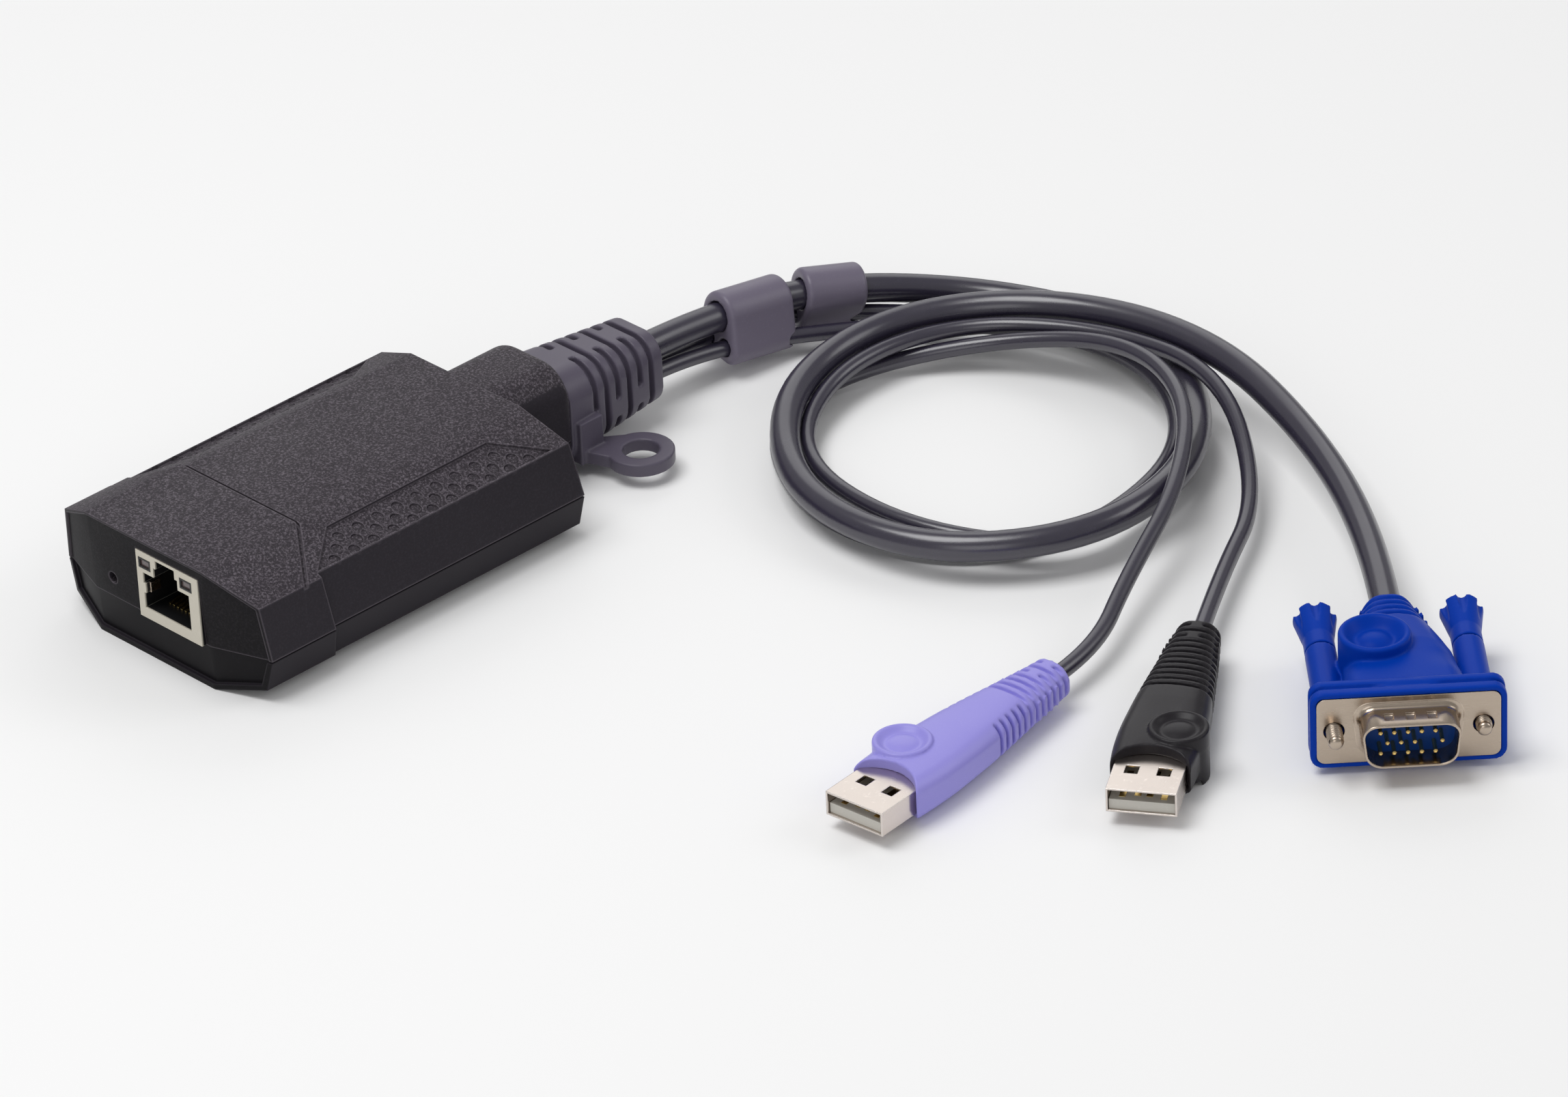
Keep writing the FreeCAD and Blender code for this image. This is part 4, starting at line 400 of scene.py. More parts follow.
FINISHES = {
    "cover": Finish("cover_sand_grain", (0.034, 0.029, 0.035), (0.135, 0.118, 0.138), 0.50,
                    grain=2300.0, depth=0.08, strength=0.7, speckle=0.54, specular=0.1,
                    edge_radius=0.5, patches=(
                        # Painted shade on the side walls, with a smoother grain that is the walls'
                        # own.
                        Patch(Zone.SIDE_WALL, (0.024, 0.0205, 0.026), (0.030, 0.026, 0.033), 0.12),
                        # Painted shade on the jack face.
                        Patch(Zone.JACK_FACE, (0.0068, 0.006, 0.0075), (0.015, 0.013, 0.016),
                              0.5))),
    "pocket": Finish("pocket_sand_grain", (0.034, 0.029, 0.035), (0.135, 0.118, 0.138), 0.50,
                     grain=2300.0, depth=0.08, strength=0.7, speckle=0.56, specular=0.1,
                     painted_edge_highlight=0.0),
    "lower": Finish("lower_satin_black", (0.021, 0.018, 0.023), (0.027, 0.0235, 0.030), 0.42,
                    grain=2400.0, depth=0.01, strength=0.15, specular=0.1, edge_radius=0.4,
                    patches=(
                        # Painted shade on the jack face.
                        Patch(Zone.JACK_FACE, (0.0068, 0.006, 0.0075), (0.012, 0.0105, 0.013)),)),
    "rubber": Finish("relief_satin_rubber", (0.092, 0.080, 0.112), (0.108, 0.095, 0.130), 0.38,
                     grain=2200.0, depth=0.015, strength=0.25, specular=0.35, painted_edge_highlight=0.1),
    # Clip rubber painted brighter than the relief's: partly the clips' own lighter tone, partly
    # painted light.
    "clip": Finish("clip_rubber_with_painted_light", (0.155, 0.136, 0.186), (0.180, 0.158, 0.214), 0.36,
                   grain=2200.0, depth=0.012, strength=0.2, specular=0.35, painted_edge_highlight=0.0),
    "jacket": Finish("cord_jacket", (0.024, 0.020, 0.038), (0.030, 0.026, 0.047), 0.26,
                     grain=700.0, depth=0.010, strength=0.15, specular=1.0, painted_edge_highlight=0.0),
    "cream": Finish("jack_cream", (0.60, 0.56, 0.47), (0.64, 0.60, 0.51), 0.42,
                    grain=1400.0, depth=0.006, strength=0.1, edge_radius=0.1, patches=(
                        # Painted shade inside the port.
                        Patch(Zone.PORT_INSIDE, (0.004, 0.004, 0.005), (0.007, 0.007, 0.008)),)),
    "lens": Finish("smoky_lens", (0.10, 0.072, 0.072), (0.19, 0.145, 0.14), 0.14,
                   grain=600.0, depth=0.006, strength=0.1, coat=0.6, edge_radius=0.1),
    "gold": Finish("gold_plate", (0.78, 0.55, 0.20), (0.84, 0.62, 0.26), 0.22, metallic=1.0,
                   grain=1500.0, depth=0.004, strength=0.1, edge_radius=0.08),
    "nickel": Finish("nickel_plate", (0.68, 0.61, 0.56), (0.76, 0.69, 0.64), 0.24, metallic=1.0,
                     grain=900.0, depth=0.006, strength=0.12, brushed=True, edge_radius=0.2),
    "tin": Finish("tin_plate", (0.475, 0.395, 0.32), (0.555, 0.475, 0.39), 0.26, metallic=1.0,
                  grain=900.0, depth=0.006, strength=0.12, brushed=True, edge_radius=0.2),
    "steel": Finish("zinc_steel", (0.45, 0.45, 0.46), (0.56, 0.56, 0.58), 0.33, metallic=1.0,
                    grain=1200.0, depth=0.01, strength=0.2, edge_radius=0.1),
    "violet": Finish("violet_moulding", (0.315, 0.285, 0.74), (0.345, 0.315, 0.77), 0.36,
                     grain=2600.0, depth=0.012, strength=0.2, specular=0.3, painted_edge_highlight=0.0),
    "black": Finish("black_moulding", (0.017, 0.015, 0.018), (0.028, 0.025, 0.030), 0.34,
                    grain=2600.0, depth=0.018, strength=0.3, specular=0.2, painted_edge_highlight=0.0),
    "blue": Finish("blue_moulding", (0.0003, 0.038, 0.37), (0.0006, 0.045, 0.41), 0.40,
                   grain=2400.0, depth=0.012, strength=0.2, specular=0.07, painted_edge_highlight=0.0),
    "dark_blue": Finish("insulator_blue", (0.0008, 0.042, 0.24), (0.0012, 0.050, 0.28), 0.36,
                        grain=1800.0, depth=0.008, strength=0.1, specular=0.2, painted_edge_highlight=0.0),
    "pale": Finish("tongue_moulding", (0.55, 0.53, 0.48), (0.60, 0.58, 0.53), 0.45,
                   grain=1200.0, depth=0.006, strength=0.1, edge_radius=0.1),
    "board": Finish("board_mask", (0.01, 0.12, 0.05), (0.02, 0.2, 0.09), 0.35,
                    grain=700.0, depth=0.02, strength=0.2),
    "chip": Finish("mould_compound", (0.015, 0.015, 0.015), (0.03, 0.03, 0.03), 0.55,
                   grain=1500.0, depth=0.02, strength=0.2),
}

NODE_FINISHES = {
    "top_cover": "cover", "bottom_cover": "lower", "cover_screws": "steel",
    "main_board": "board", "processor_chip": "chip", "memory_chip": "chip",
    "crystal_can": "steel", "jack_body": "cream", "jack_shield": "nickel",
    "jack_contacts": "gold", "jack_led_left": "lens", "jack_led_right": "lens",
    "reset_switch": "chip", "reset_plunger": "chip", "strain_relief": "rubber",
    "cord_clip_near": "rubber", "cord_clip_far": "rubber",
    "purple_plug_grip": "violet", "purple_plug_shell": "nickel", "purple_plug_tongue": "pale",
    "purple_plug_contacts": "gold", "black_plug_grip": "black", "black_plug_shell": "nickel",
    "black_plug_tongue": "pale", "black_plug_contacts": "gold", "vga_plug_hood": "blue",
    "vga_plug_shell": "tin", "vga_plug_insulator": "dark_blue", "vga_plug_pins": "gold",
    "thumbscrew_left_knob": "blue", "thumbscrew_left_rod": "tin",
    "thumbscrew_right_knob": "blue", "thumbscrew_right_rod": "tin",
}


# ------------------------------------------------------------------ camera and studio
@dataclass
class Studio:
    """Camera, floor and soft lamps."""

    floor_size: float = 30.0
    floor_colour: Colour = (0.93, 0.93, 0.93)
    world_strength: float = 0.37

    def camera(self) -> None:
        """Put the camera at the viewing angle."""
        azimuth = math.radians(CameraPlace.AZIMUTH.value)
        elevation = math.radians(CameraPlace.ELEVATION.value)
        roll = math.radians(CameraPlace.ROLL.value)
        back = Vector((math.sin(azimuth) * math.cos(elevation),
                       -math.cos(azimuth) * math.cos(elevation), math.sin(elevation)))
        level = Vector((math.cos(azimuth), math.sin(azimuth), 0.0))
        up = back.cross(level)
        right = level * math.cos(roll) + up * math.sin(roll)
        top = up * math.cos(roll) - level * math.sin(roll)
        lens = bpy.data.cameras.new("camera")
        lens.lens = CameraPlace.LENS.value
        lens.sensor_width = 36.0
        lens.clip_start = 0.01
        camera = bpy.data.objects.new("camera", lens)
        bpy.context.scene.collection.objects.link(camera)
        turn = Matrix((right, top, back)).transposed().to_4x4()
        camera.matrix_world = Matrix.Translation(CameraPlace.POSITION.value) @ turn
        bpy.context.scene.camera = camera

    def floor(self) -> None:
        """Lay the pale floor."""
        bpy.ops.mesh.primitive_plane_add(size=self.floor_size)
        floor = bpy.context.object
        floor.name = "floor"
        material = bpy.data.materials.new("floor_paper")
        material.use_nodes = True
        sheet = Sheet(material.node_tree)
        sheet.tree.nodes.clear()
        paint = sheet.add("ShaderNodeBsdfDiffuse")
        paint.inputs["Color"].default_value = (*self.floor_colour, 1.0)
        output = sheet.add("ShaderNodeOutputMaterial")
        sheet.join(paint.outputs[0], output.inputs["Surface"])
        floor.data.materials.append(material)

    def lamp(self, name: str, place: Point, size: float, power: float) -> None:
        """Hang a square soft lamp that faces the object.

        Args:
            name: Name of the lamp.
            place: Where it hangs, in metres.
            size: Side of the square, in metres.
            power: Watts.
        """
        light = bpy.data.lights.new(name, "AREA")
        light.energy = power
        light.size = size
        lamp = bpy.data.objects.new(name, light)
        bpy.context.scene.collection.objects.link(lamp)
        lamp.location = place
        towards = Vector((0.03, -0.06, 0.0)) - Vector(place)
        lamp.rotation_euler = towards.to_track_quat("-Z", "Y").to_euler()

    def light(self) -> None:
        """Light the object softly from above."""
        world = bpy.data.worlds.new("world")
        world.use_nodes = True
        world.node_tree.nodes["Background"].inputs["Color"].default_value = (1, 1, 1, 1)
        world.node_tree.nodes["Background"].inputs["Strength"].default_value = (
            self.world_strength)
        bpy.context.scene.world = world
        self.lamp("key_lamp", (-0.25, 0.08, 1.0), 0.6, 6.0)
        self.lamp("back_lamp", (0.75, 0.70, 0.62), 0.85, 2.05)
        self.lamp("fill_lamp", (0.85, -0.75, 0.70), 0.6, 1.9)
        self.lamp("front_lamp", (-0.9, -0.7, 0.45), 0.6, 1.4)

    def build(self) -> None:
        """Set up everything around the object."""
        self.camera()
        self.floor()
        self.light()
        bpy.context.scene.view_settings.view_transform = "Standard"


# ------------------------------------------------------------------ cords
@dataclass
class Cord:
    """A jacketed cord that follows its control points as one smooth line."""

    name: str
    node: str
    diameter: float
    length: float
    route: list[Point]
    plug: tuple[str, ...]
    finish: str = "jacket"

    def build(self, materials: dict[str, bpy.types.Material]) -> bpy.types.Object:
        """Lay the cord.

        Args:
            materials: Finished materials by name.

        Returns:
            The cord's curve object.
        """
        curve = bpy.data.curves.new(self.name, "CURVE")
        curve.dimensions = "3D"
        curve.resolution_u = 10
        curve.bevel_depth = self.diameter / 2
        curve.bevel_resolution = 7
        curve.use_fill_caps = True
        spline = curve.splines.new("NURBS")
        spline.points.add(len(self.route) - 1)
        for point, place in zip(spline.points, self.route):
            point.co = (*place, 1.0)
        spline.order_u = 3
        spline.use_endpoint_u = True
        cord = bpy.data.objects.new(self.name, curve)
        bpy.context.scene.collection.objects.link(cord)
        curve.materials.append(materials[self.finish])
        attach(cord, "housing")
        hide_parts(self.node)
        return cord

    def declare(self) -> None:
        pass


@dataclass
class CordSet:
    """The three cords that leave the strain relief, bundled by two clips."""

    thick: list[Point] = field(default_factory=lambda: [
        (0.058, 0, 0.012), (0.071, 0, 0.012), (0.1015, -0.0035, 0.009),
        (0.1295, -0.0225, 0.0027), (0.1345, -0.0595, 0.0052), (0.108, -0.0945, 0.0075),
        (0.0735, -0.103, 0.0081), (0.0485, -0.082, 0.0065), (0.048, -0.0495, 0.0062),
        (0.071, -0.0235, 0.0073), (0.1015, -0.0195, 0.0083), (0.1245, -0.040, 0.0099),
        (0.1295, -0.075, 0.0124), (0.1185, -0.1105, 0.0095), (0.100, -0.1405, 0.0085),
        (0.085, -0.157, 0.0085)])
    purple: list[Point] = field(default_factory=lambda: [
        (0.058, -0.0017, 0.0073), (0.069, -0.0017, 0.0073), (0.0925, -0.006, 0.0036),
        (0.119, -0.0285, 0.0035), (0.1275, -0.0605, 0.0044), (0.1125, -0.085, 0.0025),
        (0.0835, -0.0925, 0.0017), (0.057, -0.0845, 0.0017), (0.0485, -0.054, 0.0019),
        (0.0655, -0.0245, 0.0019), (0.0895, -0.020, 0.0018), (0.1115, -0.0365, 0.0056),
        (0.121, -0.0615, 0.0111), (0.1115, -0.086, 0.0129), (0.0885, -0.105, 0.0116),
        (0.0645, -0.115, 0.0074), (0.048, -0.1238, 0.0049), (0.036, -0.125, 0.0049)])
    black: list[Point] = field(default_factory=lambda: [
        (0.058, 0.0017, 0.0073), (0.071, 0.0017, 0.0073), (0.094, 0.0015, 0.0046),
        (0.119, -0.020, 0.002), (0.1315, -0.0485, 0.002), (0.1205, -0.0825, 0.0015),
        (0.095, -0.096, 0.0033), (0.068, -0.0975, 0.0049), (0.054, -0.0705, 0.0051),
        (0.061, -0.0365, 0.0032), (0.084, -0.024, 0.0067), (0.1095, -0.029, 0.0072),
        (0.1235, -0.0535, 0.0092), (0.123, -0.0835, 0.0118), (0.103, -0.1105, 0.005),
        (0.079, -0.1235, 0.0049), (0.062, -0.1345, 0.0049)])

    def cords(self) -> list[Cord]:
        """List the cords, each with the finished pieces that are on it."""
        video = ("vga_plug_hood_moulding", "video_plug_shell", "video_plug_insulator",
                 "vga_plug_pins", "thumbscrew_left_knob_moulding", "thread_left",
                 "thumbscrew_right_knob_moulding", "thread_right", "cord_clip_near_moulding",
                 "cord_clip_far_moulding")
        usb = ("grip_moulding", "shell", "tongue", "contacts")
        return [
            Cord("video_cord", "vga_cord", 5.4 * MM, 0.4712, self.thick, video),
            Cord("violet_cord", "purple_usb_cord", 3 * MM, 0.4343, self.purple,
                 tuple("purple_plug_" + part for part in usb)),
            Cord("dark_cord", "black_usb_cord", 3 * MM, 0.4357, self.black,
                 tuple("black_plug_" + part for part in usb)),
        ]

    def build(self, materials: dict[str, bpy.types.Material]) -> None:
        """Lay all three cords.

        Args:
            materials: Finished materials by name.
        """
        for cord in self.cords():
            cord.build(materials)
            LOG.info("laid %s", cord.name)

    def declare(self) -> None:
        """Call each cord's declare step, which does nothing."""
        for cord in self.cords():
            cord.declare()


# ------------------------------------------------------------------ carried-over pieces
def soften(node: bpy.types.Object, angle: float = 32.0) -> None:
    """Shade a frame piece smoothly between its sharp edges.

    Args:
        node: Frame piece to shade.
        angle: Steepest turn that is still shaded as one surface, in degrees.
    """
    for polygon in node.data.polygons:
        polygon.use_smooth = True
    weld = node.modifiers.new("weld", "WELD")
    weld.merge_threshold = 2e-6
    split = node.modifiers.new("split", "EDGE_SPLIT")
    split.split_angle = math.radians(angle)


def dress(nodes: dict[str, bpy.types.Object], materials: dict[str, bpy.types.Material]) -> None:
    """Give each frame piece its finish.

    Args:
        nodes: Frame pieces by name.
        materials: Finished materials by name.
    """
    for name, finish in NODE_FINISHES.items():
        node = nodes[name]
        node.data.materials.clear()
        node.data.materials.append(materials[finish])
        soften(node)
        LOG.info("dressed %s", name)


# ------------------------------------------------------------------ modelling tools
def solo(piece: bpy.types.Object) -> None:
    """Select one piece alone and make it active."""
    bpy.ops.object.select_all(action="DESELECT")
    piece.select_set(True)
    bpy.context.view_layer.objects.active = piece


@contextmanager
def editing(piece: bpy.types.Object) -> Iterator[None]:
    """Edit one piece with everything in it selected.

    Args:
        piece: Piece to edit.

    Yields:
        Nothing, while the piece is in edit mode.
    """
    solo(piece)
    bpy.ops.object.mode_set(mode="EDIT")
    bpy.ops.mesh.select_all(action="SELECT")
    yield
    bpy.ops.object.mode_set(mode="OBJECT")


def face_outward() -> None:
    """Turn all faces of the edited piece outward."""
    bpy.ops.mesh.select_all(action="SELECT")
    bpy.ops.mesh.normals_make_consistent(inside=False)


def shade(piece: bpy.types.Object, angle: float) -> None:
    """Shade a piece smoothly up to an angle, in degrees."""
    solo(piece)
    bpy.ops.object.shade_smooth_by_angle(angle=math.radians(angle))


def finish_modifier(piece: bpy.types.Object, kind: str, **values: object) -> None:
    """Add a modifier to a piece and apply it.

    Args:
        piece: Piece to change.
        kind: Blender's name for the modifier type.
        **values: The modifier's settings.
    """
    modifier = piece.modifiers.new(kind.lower(), kind)
    for name, value in values.items():
        setattr(modifier, name, value)
    solo(piece)
    bpy.ops.object.modifier_apply(modifier=modifier.name)


def carve(piece: bpy.types.Object, tool: bpy.types.Object) -> None:
    """Cut a tool's shape out of a piece, and remove the tool."""
    finish_modifier(piece, "BOOLEAN", operation="DIFFERENCE", solver="EXACT", object=tool)
    bpy.data.objects.remove(tool)


def unite(piece: bpy.types.Object, extras: list[bpy.types.Object]) -> None:
    """Join other pieces into one."""
    solo(piece)
    for extra in extras:
        extra.select_set(True)
    bpy.ops.object.join()


def settle(piece: bpy.types.Object, place: Matrix) -> None:
    """Move a piece's mesh into place and leave its object at the origin."""
    solo(piece)
    bpy.ops.object.transform_apply(location=True, rotation=True, scale=True)
    piece.data.transform(place)


def pick(piece: bpy.types.Object, test: Callable[[Vector], bool]) -> None:
    """Select, in edit mode, the vertices that pass a test.

    Args:
        piece: Piece that is being edited.
        test: Says whether a vertex at a place is wanted.
    """
    bpy.ops.mesh.select_mode(type="VERT")
    mesh = bmesh.from_edit_mesh(piece.data)
    for vertex in mesh.verts:
        vertex.select = test(vertex.co)
    mesh.select_flush(True)
    bmesh.update_edit_mesh(piece.data)


def turned(name: str, profile: list[tuple[float, float]], sides: int = 40) -> bpy.types.Object:
    """Turn a closed round piece about Z.

    Args:
        name: Name of the piece.
        profile: Radius and height of each step, in millimetres.
        sides: Sides of the round.

    Returns:
        The turned piece, about the origin's Z axis.
    """
    radius, height = profile[0]
    bpy.ops.mesh.primitive_circle_add(vertices=sides, radius=radius * MM, fill_type="NGON",
                                      location=(0, 0, height * MM))
    piece = bpy.context.object
    piece.name = name
    with editing(piece):
        for next_radius, next_height in profile[1:]:
            bpy.ops.mesh.extrude_region_move(
                TRANSFORM_OT_translate={"value": (0, 0, (next_height - height) * MM)})
            ratio = next_radius / radius
            bpy.ops.transform.resize(value=(ratio, ratio, 1),
                                     center_override=(0, 0, next_height * MM))
            radius, height = next_radius, next_height
        face_outward()
    settle(piece, Matrix())
    return piece


def bevelled_block(name: str, low: Point, high: Point, bevel: float) -> bpy.types.Object:
    """Block between two corners, in millimetres, with its edges broken.

    Args:
        name: Name of the piece.
        low: Lowest corner.
        high: Highest corner.
        bevel: Width of the broken edge.

    Returns:
        The block.
    """
    middle = [(a + b) / 2 * MM for a, b in zip(low, high)]
    bpy.ops.mesh.primitive_cube_add(size=1, location=middle)
    piece = bpy.context.object
    piece.name = name
    piece.scale = [(b - a) * MM for a, b in zip(low, high)]
    settle(piece, Matrix())
    finish_modifier(piece, "BEVEL", width=bevel * MM, segments=3)
    return piece


def finished(piece: bpy.types.Object, material: bpy.types.Material, body: str, slot: str,
             *nodes: str) -> None:
    """Dress a new piece, and say what it rides on and stands for.

    Args:
        piece: The piece.
        material: Its finish.
        body: Body that it rides on.
        slot: Not used.
        *nodes: Frame pieces that it stands for.
    """
    piece.data.materials.clear()
    piece.data.materials.append(material)
    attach(piece, body)
    if nodes:
        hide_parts(*nodes)
    LOG.info("built %s, %d faces", piece.name, len(piece.data.polygons))


@dataclass(frozen=True)
class Bench:
    """A plug's own axes: X from the cord's end to the mouth, Y to the left, Z up."""

    end: Point
    before: Point

    def place(self) -> Matrix:
        """Matrix from the plug's axes to the frame."""
        ahead = Vector(self.end) - Vector(self.before)
        ahead.z = 0.0
        ahead.normalize()
        left = Vector((-ahead.y, ahead.x, 0.0))
        turn = Matrix((ahead, left, Vector((0, 0, 1)))).transposed().to_4x4()
        return Matrix.Translation(self.end) @ turn


# ------------------------------------------------------------------ mouldings
def between(steps: tuple[tuple[float, float], ...], place: float) -> float:
    """Read a value off a line drawn through steps.

    Args:
        steps: Places and their values, in order.
        place: Where to read.

    Returns:
        The value there, held at both ends.
    """
    if place <= steps[0][0]:
        return steps[0][1]
    for (a, low), (b, high) in zip(steps, steps[1:]):
        if place <= b:
            share = (place - a) / (b - a)
            share = share * share * (3 - 2 * share)
            return low + (high - low) * share
    return steps[-1][1]


@dataclass
class Moulding:
    """A moulded piece worked up from its frame shape, with every edge melted round."""

    node: str
    finish: str
    slot: str
    body: str = "housing"
    voxel: float = 0.2
    passes: int = 3
    keep: float = 0.5

    def start(self, nodes: dict[str, bpy.types.Object]) -> bpy.types.Object:
        """Copy the frame piece's mesh into a new merged piece.

        Args:
            nodes: Frame pieces by name.

        Returns:
            The copy.
        """
        mesh = nodes[self.node].data.copy()
        mesh.name = self.node + "_moulding"
        piece = bpy.data.objects.new(self.node + "_moulding", mesh)
        bpy.context.scene.collection.objects.link(piece)
        with editing(piece):
            bpy.ops.mesh.remove_doubles(threshold=MERGE_DISTANCE)
        return piece

    def remesh(self, piece: bpy.types.Object) -> None:
        """Run the piece's skins together into one even mesh."""
        finish_modifier(piece, "REMESH", mode="VOXEL", voxel_size=self.voxel * MM)

    def shape(self, piece: bpy.types.Object) -> None:
        """Shape the piece further before it is melted."""

    def build(self, nodes: dict[str, bpy.types.Object],
              materials: dict[str, bpy.types.Material]) -> None:
        """Make the moulding.

        Args:
            nodes: Frame pieces by name.
            materials: Finished materials by name.
        """
        piece = self.start(nodes)
        self.shape(piece)
        self.remesh(piece)
        finish_modifier(piece, "SMOOTH", factor=0.5, iterations=self.passes)
        finish_modifier(piece, "DECIMATE", ratio=self.keep)
        solo(piece)
        bpy.ops.object.shade_smooth()
        finished(piece, materials[self.finish], self.body, self.slot, self.node)


@dataclass
class PlugBody(Moulding):
    """A plug's moulded body, with a crowned back and a dished round boss."""

    bench: Bench | None = None
    halves: tuple[tuple[float, float], ...] = ()
    crown: tuple[tuple[float, float], ...] = ()
    boss_radius: float = 5.15
    boss_root: float = 8.75
    boss_foot: float = 6.6
    dish: tuple[tuple[float, float], ...] = ()
    brow: tuple[float, float, float, float] | None = None

    def boss_place(self, piece: bpy.types.Object) -> Vector:
        """Middle of the boss, found from the highest points of the frame shape."""
        top = max(vertex.co.z for vertex in piece.data.vertices)
        rim = [vertex.co for vertex in piece.data.vertices if vertex.co.z > top - 0.02 * MM]
        low = [min(point[axis] for point in rim) for axis in range(2)]
        high = [max(point[axis] for point in rim) for axis in range(2)]
        return Vector(((low[0] + high[0]) / 2, (low[1] + high[1]) / 2, 0.0))

    def round_back(self, piece: bpy.types.Object) -> None:
        """Draw the shoulders in towards the middle height, more the further they are out."""
        place = self.bench.place()
        inverse = place.inverted()
        for vertex in piece.data.vertices:
            local = inverse @ vertex.co
            half = between(self.halves, local.x / MM)
            share = abs(local.y) / MM / half
            if share < 1.04:
                local.z *= 1.0 - between(self.crown, local.x / MM) * min(1.0, share) ** 2.4
                vertex.co = place @ local

    def shape(self, piece: bpy.types.Object) -> None:
        """Crown the back and set the dished boss on it."""
        middle = self.boss_place(piece)
        off = turned("boss_cutter", [(self.boss_radius + 0.2, self.boss_root),
                                     (self.boss_radius + 0.2, self.boss_root + 12)], 48)
        settle(off, Matrix.Translation(middle))
        carve(piece, off)
        self.remesh(piece)
        self.round_back(piece)
        boss = turned("boss", [(self.boss_radius, self.boss_foot)] + [
            (radius, height) for radius, height in self.dish], 64)
        settle(boss, Matrix.Translation(middle))
        extras = [boss]
        if self.brow:
            along, height, half, thick = self.brow
            bpy.ops.mesh.primitive_uv_sphere_add(segments=48, ring_count=24, radius=1.0)
            brow = bpy.context.object
            brow.scale = (thick * MM, half * MM, thick * MM)
            bpy.ops.object.transform_apply(location=True, rotation=True, scale=True)
            settle(brow, self.bench.place() @ Matrix.Translation((along * MM, 0, height * MM)))
            extras.append(brow)
        unite(piece, extras)


